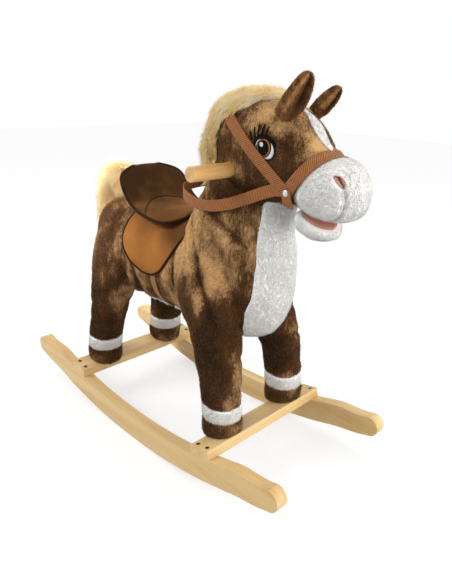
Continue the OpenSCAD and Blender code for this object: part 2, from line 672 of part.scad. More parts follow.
// Closes the pocket under the battery box
module pocket_flap() belly_part(girth_y + girth_width / 2 + soft_gap, box_y + box_size[1]);
blaze_outline = both_sides([[0, 263], [7, 254], [13, 244], [12, 232], [7, 222]]);
module blaze() color("white") difference() {
    intersection() {
        head_form(soft_gap + pad_thick);
        along_y(blaze_outline, -far, -210);
    }
    head_form(soft_gap);
    strap_form(nose_turn, strap_start, soft_gap, 1);
}
module muzzle() color("white") difference() {
    muzzle_form();
    on_jaw() below_plane(upper_lip);
    jaw_room();
}
nostril_at = [32, 184];
nostril_half = [5, 7];
module nostrils() color("pink") difference() {
    intersection() {
        muzzle_form(soft_gap + 1);
        for (side = [-1, 1]) translate([side * nostril_at[0], -290, trunk_lift + nostril_at[1]])
            rotate([90, 0, 0])
            scale([nostril_half[0], nostril_half[1], 1]) cylinder(r = 1, h = far, $fn = 20);
    }
    muzzle_form(soft_gap);
}
lining_start = 34;
module mouth_slab(angle, low, high) intersection() {
    above_plane(angle, low);
    below_plane(angle, high);
    rotate([angle, 0, 0]) translate([-far, -far, -far]) cube([2 * far, far - lining_start, 2 * far]);
}
module palate() color("pink") difference() {
    intersection() {
        muzzle_form(-3);
        on_jaw() mouth_slab(upper_lip, -lining_thick - pin_gap, -pin_gap);
    }
    translate([-far, -2 * far - 304, 0]) cube([2 * far, 2 * far, 2 * far]);
}
module lower_jaw() color("white") on_jaw() difference() {
    jaw_form();
    above_plane(lower_lip);
    lever_room(soft_gap);
}
module tongue() color("pink") on_jaw() intersection() {
    jaw_form(-4);
    mouth_slab(lower_lip, pin_gap, lining_thick + pin_gap);
}
eye_at = [-202, 213];
eye_half = [15, 14];
module eyes() color("black") difference() {
    intersection() {
        head_form(soft_gap + 1);
        translate([-far, eye_at[0], trunk_lift + eye_at[1]]) rotate([0, 90, 0])
            scale([eye_half[1], eye_half[0], 1]) cylinder(r = 1, h = 2 * far, $fn = 24);
    }
    head_form(soft_gap);
    strap_form(cheek_turn, -strap_tail, soft_gap, 1);
}
// Mane, forelock to withers: [place, height above the trunk's axis, half width, half thickness, turn]
mane_shape = [[-212, 264, 14, 6, 118], [-190, 271, 20, 10, 108], [-158, 275, 24, 12, 96], [-124, 274, 25,
    13, 84],
    [-94, 262, 24, 17, 58], [-74, 241, 23, 19, 32], [-54, 212, 21, 18, 12], [-48, 190, 19, 19, 2],
    [-53, 162, 15, 15, -6], [-58, 148, 9, 9, -8]];
module mane() color("khaki") difference() {
    chain([for (m = mane_shape) [[0, m[0], trunk_lift + m[1]], [m[2], m[3]], [m[4] - 180, 0, 0], 2, 0]]);
    head_form(soft_gap);
    neck_form(soft_gap);
    strap_form(cheek_turn, -strap_tail, soft_gap, 1);
    for (side = [-1, 1]) ear_form(side);
}
// Tail, root to tip: [place behind the peg, height above the trunk's axis, width share, half thickness,
// turn]
tail_shape = [[0, 82, 0.5, 12, 0], [3, 96, 0.7, 17, -8], [9, 112, 0.86, 20, -22], [22, 121, 0.95, 22, -62],
    [40, 117, 1, 23, -108], [53, 98, 1, 24, -142], [57, 70, 0.98, 23, -170], [57, 34, 0.93, 21, -181],
    [55, -4, 0.85, 18, -183], [53, -38, 0.6, 13, -184], [51, -58, 0.25, 6, -184]];
module tail() color("khaki") difference() {
    chain([for (t = tail_shape) [[0, tail_back + t[0], trunk_lift + t[1]], [t[2] * tail_half, t[3]],
        [t[4], 0, 0], 2, 0]]);
    for (a = [-1:1]) translate([0, tail_back, 0]) rotate(a * tail_swing) translate([0, -tail_back, 0])
        trunk_form(1);
    tail_rod(soft_gap, peg_top + soft_gap);
}

// ---- Saddle ------------------------------------------------------------------------------------
flap_outline = [for (f = [[-0.53, 98], [-0.5, 60], [-0.37, 22], [-0.23, -6], [-0.08, -18], [0.1, -19],
    [0.32, -8],
    [0.48, 14], [0.53, 38], [0.48, 70], [0.42, 98]]) [saddle_y + f[0] * flap_length, f[1]]];
module saddle_pad() color("peru") difference() {
    intersection() {
        trunk_form(soft_gap + flap_thick);
        along_x(flap_outline);
    }
    trunk_form(soft_gap);
    neck_form(soft_gap);
}
girth_thick = 1.8;
module girth_strap() color("sienna") difference() {
    intersection() {
        trunk_form(soft_gap + girth_thick);
        translate([-far, girth_y - girth_width / 2, 0]) cube([2 * far, girth_width, trunk_lift - 18]);
    }
    trunk_form(soft_gap);
    along_x(flap_outline);
}
// Seat, pommel to cantle: share of the length against place, height, width, droop and wrap
seat_path = [[0, [-20, 91, 0.46, 9, 0]], [0.08, [-12, 89, 0.74, 12, 0]], [0.2, [4, 87, 0.92, 12, 0]],
    [0.4, [36, 86.5, 1, 7, 0]], [0.58, [66, 89, 1, 2, 1]], [0.7, [87, 96, 1, -2, 4]],
    [0.8, [104, 110, 1, -5, 8]], [0.89, [117, 129, 0.98, -6, 8]], [0.95, [125, 142, 0.84, -2, 6]],
    [1, [130, 150, 0.48, 1, 2]]];
function seat_at(v, k) = lookup(v, [for (s = seat_path) [s[0], s[1][k]]]);
seat_rows = 14;
seat_columns = 12;
function seat_point(u, v, low) = [u * seat_at(v, 2) * seat_width / 2, seat_at(v, 0) - seat_at(v, 4) * u * u
        + low * 0.6 * ease((v - 0.5) * 3) * seat_thick * (1 - 0.7 * u * u),
    trunk_lift + seat_at(v, 1) - seat_at(v, 3) * u * u - low * (0.35 + 0.65 * (1 - u * u)) * seat_thick];
seat_grid = [for (low = [0, 1], j = [0:seat_rows], i = [0:seat_columns])
    seat_point(2 * i / seat_columns - 1, j / seat_rows, low)];
function seat_id(low, j, i) = (low * (seat_rows + 1) + j) * (seat_columns + 1) + i;
function quad(a, b, c, d) = [[a, b, c], [a, c, d]];
seat_faces = [for (f = concat(
    [for (j = [0:seat_rows - 1], i = [0:seat_columns - 1]) each quad(seat_id(0, j, i), seat_id(0, j + 1, i),
        seat_id(0, j + 1, i + 1), seat_id(0, j, i + 1))],
    [for (j = [0:seat_rows - 1], i = [0:seat_columns - 1]) each quad(seat_id(1, j, i), seat_id(1, j, i + 1),
        seat_id(1, j + 1, i + 1), seat_id(1, j + 1, i))],
    [for (i = [0:seat_columns - 1]) each quad(seat_id(0, 0, i), seat_id(0, 0, i + 1), seat_id(1, 0,
        i + 1), seat_id(1, 0, i))],
    [for (i = [0:seat_columns - 1]) each quad(seat_id(0, seat_rows, i + 1), seat_id(0, seat_rows, i),
        seat_id(1, seat_rows, i), seat_id(1, seat_rows, i + 1))],
    [for (j = [0:seat_rows - 1]) each quad(seat_id(0, j + 1, 0), seat_id(0, j, 0), seat_id(1, j, 0),
        seat_id(1, j + 1, 0))],
    [for (j = [0:seat_rows - 1]) each quad(seat_id(0, j, seat_columns), seat_id(0, j + 1, seat_columns),
        seat_id(1, j + 1, seat_columns), seat_id(1, j, seat_columns))])) f];
module saddle_seat() color("chocolate") difference() {
    polyhedron(seat_grid, seat_faces);
    trunk_form(2 * soft_gap + flap_thick);
    neck_form(soft_gap);
}

// ---- Bridle ------------------------------------------------------------------------------------
rivet_at = [-241, 159];
cheek_turn = 35;
nose_turn = 122;
chin_turn = -46;
strap_start = web_width / 2 + 2;
strap_tail = web_width / 2 - 1;
// A band of webbing around the head in the plane that leaves the rivets at an angle
module strap_form(turn, from, gap = 0, lift = 0) difference() {
    intersection() {
        head_form(soft_gap + web_thick + lift);
        translate([0, rivet_at[0], trunk_lift + rivet_at[1]]) rotate([turn, 0, 0])
            translate([-far, from - gap, -web_width / 2 - gap]) cube([2 * far, far, web_width + 2 * gap]);
    }
    head_form(soft_gap);
}
module headstall() color("sienna") strap_form(cheek_turn, -strap_tail);
module noseband() color("sienna") difference() {
    strap_form(nose_turn, strap_start);
    muzzle_form(soft_gap);
}
module chin_strap() color("sienna") difference() {
    strap_form(chin_turn, strap_start);
    jaw_room();
    neck_form(2 * soft_gap + pad_thick);
}
rivet_high = 1.6;
module rivets() color("silver") difference() {
    intersection() {
        head_form(2 * soft_gap + web_thick + rivet_high);
        translate([-far, rivet_at[0], trunk_lift + rivet_at[1]]) rotate([0, 90, 0])
            cylinder(r = rivet_r, h = 2 * far, $fn = 20);
    }
    head_form(2 * soft_gap + web_thick);
}
// Rein: one hanging loop of webbing, from the right rivet round behind the neck to the left one
rein_half = [[48.8, -236, 160], [51, -224, 159], [54, -205, 153], [59, -178, 142], [64, -150, 131],
    [68, -122, 124], [69, -95, 122], [67, -70, 125], [60, -48, 130], [46, -34, 135], [26, -27, 138],
    [8, -25, 139]];
rein_path = concat([for (r = rein_half) [-r[0], r[1], trunk_lift + r[2]]],
    [for (i = [len(rein_half) - 1:-1:0]) [rein_half[i][0], rein_half[i][1], trunk_lift + rein_half[i][2]]]);
rein_sides = 8;
function unit(v) = v / norm(v);
function rein_run(i) = unit(rein_path[min(i + 1, len(rein_path) - 1)] - rein_path[max(i - 1, 0)]);
function rein_ring(i) = let (t = rein_run(i), n = unit(cross(t, [0, 0, 1])), b = cross(n, t))
    [for (k = [0:rein_sides - 1]) let (a = 360 * (k + 0.5) / rein_sides)
        rein_path[i] + n * cos(a) * web_thick * 0.6 + b * sin(a) * web_width / 2];
rein_points = [for (i = [0:len(rein_path) - 1]) each rein_ring(i)];
function rein_id(i, k) = i * rein_sides + k % rein_sides;
rein_faces = concat(
    [for (i = [0:len(rein_path) - 2], k = [0:rein_sides - 1]) each
        quad(rein_id(i, k), rein_id(i, k + 1), rein_id(i + 1, k + 1), rein_id(i + 1, k))],
    [[for (k = [rein_sides - 1:-1:0]) rein_id(0, k)]],
    [[for (k = [0:rein_sides - 1]) rein_id(len(rein_path) - 1, k)]]);
// Its ends are sewn flat against the cheek straps.
module rein() color("sienna") difference() {
    polyhedron(rein_points, rein_faces);
    head_form(soft_gap + web_thick + pin_gap);
}

rocker_right();
rocker_left();
front_crossbar();
rear_crossbar();
crossbar_screws();
post_screws();
front_right_post();
front_left_post();
rear_right_post();
rear_left_post();
front_bolster();
rear_bolster();
spine_board();
neck_post();
frame_screws();
handle_bar();
head_bracket();
jaw_motor();
jaw_pin();
tail_motor();
sound_module();
battery_box();
battery_cover();
battery_cells();
torso();
neck();
head();
front_right_leg();
front_left_leg();
rear_right_leg();
rear_left_leg();
front_cuffs();
rear_cuffs();
front_hooves();
rear_hooves();
bib();
belly_panel();
pocket_flap();
blaze();
muzzle();
nostrils();
palate();
right_ear();
left_ear();
eyes();
mane();
saddle_pad();
saddle_seat();
girth_strap();
headstall();
noseband();
chin_strap();
rivets();
rein();
lower_jaw();
tongue();
jaw_lever();
tail();
tail_peg();
sound_button();
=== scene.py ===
import math
import bpy
import numpy as np
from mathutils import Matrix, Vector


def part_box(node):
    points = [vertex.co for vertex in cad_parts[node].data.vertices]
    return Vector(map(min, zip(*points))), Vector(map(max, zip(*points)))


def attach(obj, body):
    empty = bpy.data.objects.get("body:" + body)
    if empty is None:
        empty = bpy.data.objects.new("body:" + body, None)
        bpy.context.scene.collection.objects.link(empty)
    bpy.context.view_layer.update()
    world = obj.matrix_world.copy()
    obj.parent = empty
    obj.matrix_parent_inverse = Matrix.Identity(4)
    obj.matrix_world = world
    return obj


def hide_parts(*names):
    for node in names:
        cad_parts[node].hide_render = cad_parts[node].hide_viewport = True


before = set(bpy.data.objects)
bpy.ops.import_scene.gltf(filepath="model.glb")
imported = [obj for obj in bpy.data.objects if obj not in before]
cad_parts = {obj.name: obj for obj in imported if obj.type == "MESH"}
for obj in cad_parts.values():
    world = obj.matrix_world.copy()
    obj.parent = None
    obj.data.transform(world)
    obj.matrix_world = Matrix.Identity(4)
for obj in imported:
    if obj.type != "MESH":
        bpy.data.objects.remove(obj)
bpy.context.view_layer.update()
mm = 0.001
scene = bpy.context.scene


# ---- camera
cameraSet = {"place": (-0.6106, -0.6907, 0.6057), "turn": (68.808, -1.702, -44.713), "lens": 33.395,
             "sensor": 36, "farEnd": 30}
cameraData = bpy.data.cameras.new("studioCamera")
cameraData.lens = cameraSet["lens"]
cameraData.sensor_width = cameraSet["sensor"]
cameraData.clip_end = cameraSet["farEnd"]
camera = bpy.data.objects.new("studioCamera", cameraData)
camera.location = cameraSet["place"]
camera.rotation_euler = [math.radians(a) for a in cameraSet["turn"]]
scene.collection.objects.link(camera)
scene.camera = camera
scene.view_settings.view_transform = "Standard"


# ---- small sums used throughout

def unit(v):
    return v / (np.linalg.norm(v, axis=-1, keepdims=True) + 1e-12)


def clamp(v):
    return np.clip(v, 0, 1)


def ramp(v, start, reach):  # nought at the start and one at the reach, which may lie below the start
    return clamp((v - start) / reach)


def bell(v, width):
    return np.exp(-(v / width) ** 2)


def rounded(v, power):  # a power that keeps the sign, which rounds or squares a section
    return np.sign(v) * np.abs(v) ** power


def turns(count):
    return np.linspace(0, 2 * np.pi, count, endpoint=False)


def lengthAlong(points):
    return np.concatenate([[0], np.cumsum(np.linalg.norm(np.diff(points, axis=0), axis=1))])


# A cubic curve through every row, taken at even steps; the slope at a row is half the step from
# the row before to the row after.
def smoothRows(rows, count):
    rows = np.asarray(rows, float)
    steps = (len(rows) - 1) * np.linspace(0, 1, count)
    low = np.clip(steps.astype(int), 0, len(rows) - 2)
    t = (steps - low)[:, None]
    slope = np.gradient(rows, axis=0)
    return ((2 * t**3 - 3 * t**2 + 1) * rows[low] + (t**3 - 2 * t**2 + t) * slope[low]
            + (3 * t**2 - 2 * t**3) * rows[low + 1] + (t**3 - t**2) * slope[low + 1])


# Waves of cloth: a sum of a few sine waves with turned directions
def softWaves(points, size, seed, count=7):
    rng = np.random.default_rng(seed)
    turn = unit(rng.normal(size=(count, 3))) * (2 * np.pi / size) * rng.uniform(0.6, 1.5, (count, 1))
    return np.sin(points @ turn.T + rng.uniform(0, 6.28, count)).mean(1) * 1.6


# ---- surfaces from numpy arrays

# Oval sections. A row is middle x, y, z, half across, half deep, turn in degrees, fullness and
# heaviness below. At angle a the section reaches half size times the sign and the 2/fullness
# power of cos a across and of sin a deep, and the deep axis leans from +Y by the turn.
def ovalSections(rows, around, swell=0.0):
    a = turns(around)
    c, s = np.cos(a), np.sin(a)
    x, y, z, wide, high, turn, fullness, heavy = (rows[:, k, None] for k in range(8))
    across = (wide * (1 - heavy * s) + swell) * rounded(c, 2 / fullness)
    deep = (high + swell) * rounded(s, 2 / fullness)
    t = np.radians(turn)
    return np.stack([x + across, y + deep * np.cos(t), z + deep * np.sin(t)], -1)


def rowsOf(table):  # one row of eight numbers for ovalSections from each place in the columns
    return np.stack([np.broadcast_to(np.asarray(c, float), np.shape(table[1])) for c in table], -1)


def meshFrom(name, verts, faceSets, uv=None):
    verts = np.asarray(verts, float)
    volume = 0
    for f in faceSets:
        for k in range(1, f.shape[1] - 1):
            volume += np.einsum("ij,ij->", verts[f[:, 0]], np.cross(verts[f[:, k]], verts[f[:, k + 1]]))
    faceSets = [f[:, ::-1] if volume < 0 else f for f in faceSets]
    loops = np.concatenate([f.ravel() for f in faceSets]).astype(np.int32)
    sizes = np.concatenate([np.full(len(f), f.shape[1]) for f in faceSets])
    starts = np.concatenate([[0], np.cumsum(sizes)[:-1]]).astype(np.int32)
    mesh = bpy.data.meshes.new(name)
    for data, key, values, count in ((mesh.vertices, "co", verts.astype(np.float32).ravel(), len(verts)),
                                     (mesh.loops, "vertex_index", loops, len(loops)),
                                     (mesh.polygons, "loop_start", starts, len(sizes))):
        data.add(count)
        data.foreach_set(key, values)
    mesh.update(calc_edges=True)
    if uv is not None:
        layer = mesh.uv_layers.new(name="UVMap")
        layer.data.foreach_set("uv", np.asarray(uv, np.float32)[loops].ravel())
    mesh.shade_smooth()
    piece = bpy.data.objects.new(name, mesh)
    scene.collection.objects.link(piece)
    return piece


def gridQuads(rows, cols, closed):
    i, j = np.meshgrid(np.arange(rows - 1), np.arange(cols if closed else cols - 1), indexing="ij")
    a = (i * cols + j).ravel()
    b = (i * cols + (j + 1) % cols).ravel()
    return np.stack([a, b, b + cols, a + cols], -1)


# Rings in order along the first axis make a closed skin; each end is drawn to its middle point.
def ringSkin(name, grid, uv=None):
    rows, cols = grid.shape[:2]
    verts = np.concatenate([grid.reshape(-1, 3), grid[0].mean(0)[None], grid[-1].mean(0)[None]])
    j = np.arange(cols)
    k = (j + 1) % cols
    base = (rows - 1) * cols
    caps = np.concatenate([np.stack([k, j, np.full(cols, rows * cols)], -1),
                           np.stack([base + j, base + k, np.full(cols, rows * cols + 1)], -1)])
    if uv is not None:
        uv = np.concatenate([uv.reshape(-1, 2), uv[0].mean(0)[None], uv[-1].mean(0)[None]])
    return meshFrom(name, verts, [gridQuads(rows, cols, True), caps], uv)


# An open sheet given as rows and columns gets a wall: the second face lies along the vertex
# normals at the given thickness, and the rim joins the two.
def thickSheet(name, grid, thick, uv=None):
    rows, cols = grid.shape[:2]
    normal = np.cross(np.gradient(grid, axis=0), np.gradient(grid, axis=1))
    normal /= np.linalg.norm(normal, axis=-1, keepdims=True) + 1e-12
    other = grid + normal * thick
    n = rows * cols
    quads = gridQuads(rows, cols, False)
    r, c = np.arange(rows), np.arange(cols)
    rim = np.concatenate([c[:-1], r[:-1] * cols + cols - 1, (rows - 1) * cols + c[:0:-1], r[:0:-1] * cols])
    nxt = np.roll(rim, -1)
    faces = np.concatenate([quads[:, ::-1], quads + n, np.stack([rim, nxt, nxt + n, rim + n], -1)])
    if uv is not None:
        uv = np.concatenate([uv.reshape(-1, 2)] * 2)
    return meshFrom(name, np.concatenate([grid.reshape(-1, 3), other.reshape(-1, 3)]), [faces], uv)


def outwardSheet(name, grid, thick, uv, centre):  # its wall on the side away from the centre
    facing = (np.cross(np.gradient(grid, axis=0), np.gradient(grid, axis=1)) * (grid - centre)).sum()
    return thickSheet(name, grid, thick * mm if facing > 0 else -thick * mm, uv)


# A section carried along a path: at each point it lies across the run of the path, with its
# width along the side given, or along the vector across run and up. Its map is in millimetres.
def sweep(name, path, halfWide, halfThick, around=10, closed=False, side=None, fullness=2.0):
    run = unit(np.roll(path, -1, 0) - np.roll(path, 1, 0)) if closed else unit(np.gradient(path, axis=0))
    if side is None:
        side = unit(np.cross(run, np.array([0.0, 0.13, 1.0])))
    side = unit(side - run * (side * run).sum(-1, keepdims=True))
    up = np.cross(side, run)
    w, h = (rounded(part(turns(around)), 2 / fullness) for part in (np.cos, np.sin))
    grid = (path[:, None] + side[:, None] * (w * halfWide)[None, :, None]
            + up[:, None] * (h * halfThick)[None, :, None])
    uv = np.stack(np.broadcast_arrays(lengthAlong(path)[:, None] / mm, (w * halfWide)[None, :] / mm), -1)
    if not closed:
        return ringSkin(name, grid, uv)
    quads = gridQuads(len(path) + 1, around, True)
    return meshFrom(name, grid.reshape(-1, 3), [quads % (len(path) * around)], uv.reshape(-1, 2))


def readOut(data, key, size, kind=np.float32):
    out = np.empty(len(data) * size, kind)
    data.foreach_get(key, out)
    return out.reshape(-1, size)


def vertsOf(mesh):
    return readOut(mesh.vertices, "co", 3).astype(float)


def normalsOf(mesh):
    return readOut(mesh.vertex_normals, "vector", 3).astype(float)


def facesOf(mesh):
    mesh.calc_loop_triangles()
    return readOut(mesh.loop_triangles, "vertices", 3, np.int32)


def placeVerts(mesh, verts):
    mesh.vertices.foreach_set("co", verts.astype(np.float32).ravel())
    mesh.update()


# The pile's look is kept on its vertices: the first value is painted highlight and painted shade (on some pieces only
# random mottle), tone how light it is
def markPile(piece, crest, tone=None):
    mesh = piece.data
    for name, values in (("crest", crest), ("tone", tone)):
        if values is not None:
            layer = mesh.attributes.new(name, "FLOAT", "POINT")
            layer.data.foreach_set("value", np.broadcast_to(values, len(mesh.vertices)).astype(np.float32))


# Live modifiers become the piece's own mesh
def settle(piece):
    evaluated = piece.evaluated_get(bpy.context.evaluated_depsgraph_get())
    mesh = bpy.data.meshes.new_from_object(evaluated)
    old = piece.data
    piece.modifiers.clear()
    piece.data = mesh
    mesh.name = piece.name
    bpy.data.meshes.remove(old)
    mesh.shade_smooth()
    return piece


def merged(name, parts):
    verts, faces, start = [], [], 0
    for part in parts:
        verts.append(vertsOf(part.data))
        faces.append(facesOf(part.data) + start)
        start += len(verts[-1])
        bpy.data.objects.remove(part)
    return meshFrom(name, np.concatenate(verts), [np.concatenate(faces)])


def remeshed(piece, voxel, rounds):
    cells = piece.modifiers.new("cells", "REMESH")
    cells.mode = "VOXEL"
    cells.voxel_size = voxel
    soft = piece.modifiers.new("soft", "SMOOTH")
    soft.iterations = rounds
    soft.factor = 0.5
    return settle(piece)


def wrapOn(piece, target, gap, inward=True, axis=None):
    hold = piece.modifiers.new("hold", "SHRINKWRAP")
    hold.target = target
    hold.wrap_method = "PROJECT"
    hold.wrap_mode = "ABOVE_SURFACE"
    hold.offset = gap
    hold.use_negative_direction = inward
    hold.use_positive_direction = not inward
    if axis is not None:
        setattr(hold, "use_project_" + axis, True)
    return settle(piece)


def dress(piece, material, slot, nodes=(), body="horse"):
    piece.data.materials.clear()
    piece.data.materials.append(material)
    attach(piece, body)
    if nodes:
        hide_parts(*nodes)
    return piece


# ---- node groups and materials

def linear(r, g, b):
    c = np.array([r, g, b]) / 255
    return tuple(np.where(c <= 0.04045, c / 12.92, ((c + 0.055) / 1.055) ** 2.4)) + (1.0,)


class Desk:  # short words for making nodes in one tree
    def __init__(self, tree):
        self.tree = tree

    def fill(self, socket, value):
        if isinstance(value, bpy.types.NodeSocket):
            self.tree.links.new(value, socket)
        else:
            socket.default_value = value

    def node(self, kind, inputs=None, **settings):
        made = self.tree.nodes.new("ShaderNode" + kind)
        for key, value in settings.items():
            setattr(made, key, value)
        for key, value in (inputs or {}).items():
            self.fill(made.inputs[key], value)
        return made

    def maths(self, what, a, b=0.0, clamp=False):
        return self.node("Math", {0: a, 1: b}, operation=what, use_clamp=clamp).outputs[0]

    def times(self, a, b):
        return self.maths("MULTIPLY", a, b)

    def total(self, value, *terms, clamp=False):  # only the last sum is clamped
        for term in terms:
            value = self.maths("ADD", value, term, clamp and term is terms[-1])
        return value

    def noise(self, vector, scale, detail=3.0, rough=0.5, out="Fac"):
        inputs = {"Vector": vector, "Scale": scale, "Detail": detail, "Roughness": rough}
        return self.node("TexNoise", inputs).outputs[out]

    def stretch(self, vector, scale, turn=(0, 0, 0)):
        return self.node("Mapping", {"Vector": vector, "Scale": scale, "Rotation": turn}).outputs[0]

    def spread(self, value, low, high, toLow=0.0, toHigh=1.0):
        return self.node("MapRange", {0: value, 1: low, 2: high, 3: toLow, 4: toHigh}).outputs[0]

    def mix(self, share, a, b):
        return self.node("Mix", {0: share, 6: a, 7: b}, data_type="RGBA", blend_type="MIX").outputs[2]

    def place(self):
        return self.node("TexCoord").outputs["Object"]

    def seen(self):  # one for rays that show a thing to the camera, nought for those that light it
        path = self.node("LightPath").outputs
        shown = self.maths("MAXIMUM", path["Is Camera Ray"], path["Is Glossy Ray"])
        return self.maths("MAXIMUM", shown, path["Is Transmission Ray"])

    def bumpInto(self, shader, height, strength, distance):
        bump = self.node("Bump", {"Height": height, "Strength": strength, "Distance": distance})
        self.fill(shader.inputs["Normal"], bump.outputs[0])


# Inputs and outputs are named with their kind, and a number stands for a float and its default
def newGroup(name, inputs, outputs):
    group = bpy.data.node_groups.new(name, "ShaderNodeTree")
    for way, sockets in (("INPUT", inputs), ("OUTPUT", outputs)):
        for title, kind in sockets.items():
            plain = isinstance(kind, float)
            socket = group.interface.new_socket(title, in_out=way,
                                                socket_type="NodeSocket" + ("Float" if plain else kind))
            if plain:
                socket.default_value = kind
    return Desk(group), group.nodes.new("NodeGroupInput").outputs, group.nodes.new("NodeGroupOutput").inputs


# Pile: painted sheen patches, pale where the nap lies towards the light and dark where it lies away, fine streaks down
# the pile, and painted highlight where a fold stands up and painted shade in its hollow, from the vertex value.
def buildPileGroup():
    d, enter, leave = newGroup("pileNap", {"Place": "Vector", "Crest": 0.0, "Tone": 0.5, "Deep": "Color",
                                           "Body": "Color", "Shine": "Color", "Patch": 26.0, "Contrast": 1.0},
                               {"Color": "Color", "Height": "Float"})
    patch = d.noise(d.stretch(enter["Place"], (1, 1.0, 0.62)), enter["Patch"], 3.0, 0.55)
    streak = d.noise(d.stretch(enter["Place"], (420, 420, 90)), 1.0, 2.0, 0.6)
    fine = d.noise(d.stretch(enter["Place"], (900, 900, 260)), 1.0, 2.0, 0.6)
    value = d.total(0.5, d.times(d.spread(patch, 0.3, 0.7, -0.36, 0.36), enter["Contrast"]),
                    d.times(enter["Crest"], 0.42), d.spread(streak, 0.25, 0.75, -0.2, 0.2),
                    d.spread(fine, 0.25, 0.75, -0.1, 0.1), d.spread(enter["Tone"], 0.0, 1.0, -0.2, 0.2), clamp=True)
    low = d.mix(d.spread(value, 0.0, 0.5), enter["Deep"], enter["Body"])
    d.fill(leave["Color"], d.mix(d.spread(value, 0.5, 1.0), low, enter["Shine"]))
    d.fill(leave["Height"], d.total(d.times(streak, 0.7), d.times(fine, 0.3)))
    return d.tree


# Grain: long rings squeezed across the board, fine pores along it, and a few darker streaks.
def buildGrainGroup():
    d, enter, leave = newGroup("woodGrain", {"Place": "Vector", "Pale": "Color", "Late": "Color", "Strength": 1.0},
                               {"Color": "Color", "Rough": "Float", "Height": "Float"})
    place = enter["Place"]
    bend = d.noise(d.stretch(place, (3, 3, 3)), 1.0, 2.0, 0.5, "Color")
    moved = d.node("VectorMath", {0: bend, 1: (0.03, 0.03, 0.03)}, operation="MULTIPLY").outputs[0]
    moved = d.node("VectorMath", {0: place, 1: moved}, operation="ADD").outputs[0]
    rings = d.noise(d.stretch(moved, (2.2, 60, 60)), 1.0, 3.0, 0.55)
    pores = d.noise(d.stretch(place, (30, 900, 900)), 1.0, 2.0, 0.6)
    broad = d.noise(d.stretch(place, (2, 14, 14)), 1.0, 2.0, 0.5)
    value = d.total(d.times(d.spread(rings, 0.42, 0.68), 0.6), d.spread(pores, 0.3, 0.8, -0.12, 0.2),
                    d.spread(broad, 0.3, 0.7, -0.15, 0.25))
    value = d.maths("MULTIPLY", value, enter["Strength"], True)
    d.fill(leave["Color"], d.mix(value, enter["Pale"], enter["Late"]))
    d.fill(leave["Rough"], d.spread(value, 0.0, 1.0, 0.42, 0.58))
    d.fill(leave["Height"], pores)
    return d.tree


# Webbing: slanting ribs across the strap with fine wales along it, the grooves between them painted dark as painted
# shade; Place is the strap's own map in millimetres, along and across.
def buildWebGroup():
    d, enter, leave = newGroup("webRib", {"Place": "Vector", "Yarn": "Color", "Groove": "Color", "Pitch": 1.7},
                               {"Color": "Color", "Height": "Float"})
    parts = d.node("SeparateXYZ", {0: enter["Place"]}).outputs
    slant = d.total(parts[0], d.times(parts[1], 0.55))
    turned = d.maths("DIVIDE", d.times(slant, 2 * math.pi), enter["Pitch"])
    rib = d.total(d.times(d.maths("SINE", turned), 0.5), 0.5)
    wale = d.total(d.times(d.maths("COSINE", d.times(parts[1], 2 * math.pi / 1.1)), 0.5), 0.5)
    height = d.total(d.times(rib, 0.75), d.times(wale, 0.25))
    worn = d.noise(enter["Place"], 0.12, 3.0, 0.6)
    value = d.total(d.spread(height, 0.1, 0.75), d.spread(worn, 0.3, 0.7, -0.1, 0.2), clamp=True)
    d.fill(leave["Color"], d.mix(value, enter["Groove"], enter["Yarn"]))
    d.fill(leave["Height"], height)
    return d.tree


# Suede: cloudy rub marks with a fine nap, and painted shade from the vertex value
def buildSuedeGroup():
    d, enter, leave = newGroup("suedeRub", {"Place": "Vector", "Crest": 0.0, "Dark": "Color", "Pale": "Color",
                                            "Cloud": 22.0}, {"Color": "Color", "Height": "Float"})
    cloud = d.noise(enter["Place"], enter["Cloud"], 3.0, 0.5)
    nap = d.noise(enter["Place"], 900.0, 2.0, 0.6)
    value = d.total(d.spread(cloud, 0.35, 0.65, 0.25, 0.75), d.spread(nap, 0.3, 0.7, -0.12, 0.12), enter["Crest"],
                    clamp=True)
    d.fill(leave["Color"], d.mix(value, enter["Dark"], enter["Pale"]))
    d.fill(leave["Height"], nap)
    return d.tree


pileGroup, grainGroup = buildPileGroup(), buildGrainGroup()
webGroup, suedeGroup = buildWebGroup(), buildSuedeGroup()


def newMaterial(name, plain):
    material = bpy.data.materials.new(name)
    material.use_nodes = True
    shader = material.node_tree.nodes["Principled BSDF"]
    for key, value in plain.items():
        shader.inputs[key].default_value = value
    return material, Desk(material.node_tree), shader


# A material fed by one group, by object place unless said, with the vertex values that it asks for
def grouped(name, group, values, plain, bump, place=Desk.place):
    material, d, shader = newMaterial(name, plain)
    node = d.node("Group", {"Place": place(d), **values}, node_tree=group)
    for word in ("Crest", "Tone"):
        if word in node.inputs:
            d.fill(node.inputs[word], d.node("Attribute", attribute_name=word.lower()).outputs["Fac"])
    made = node.outputs
    d.fill(shader.inputs["Base Color"], made["Color"])
    if "Rough" in made and "Roughness" not in plain:
        d.fill(shader.inputs["Roughness"], made["Rough"])
    if bump[0]:
        d.bumpInto(shader, made["Height"], *bump)
    return material


def pileMaterial(name, deep, body, shine, patch=26.0, contrast=1.0, sheen=0.3, tint=(0.85, 0.5, 0.26, 1), bump=0.5):
    return grouped(name, pileGroup, {"Deep": linear(*deep), "Body": linear(*body), "Shine": linear(*shine),
                                     "Patch": patch, "Contrast": contrast},
                   {"Roughness": 0.85, "Sheen Weight": sheen, "Sheen Roughness": 0.5, "Sheen Tint": tint,
                    "Specular IOR Level": 0.05}, (bump, 0.002))


def woodMaterial(name, pale, late, turn, strength=1.0, coat=0.0, rough=None):
    plain = {"Coat Weight": coat, "Coat Roughness": 0.12, "Specular IOR Level": 0.4}
    if rough is not None:
        plain["Roughness"] = rough
    return grouped(name, grainGroup, {"Pale": linear(*pale), "Late": linear(*late), "Strength": strength}, plain,
                   (0.12, 0.0006), lambda d: d.stretch(d.place(), (1, 1, 1), [math.radians(t) for t in turn]))


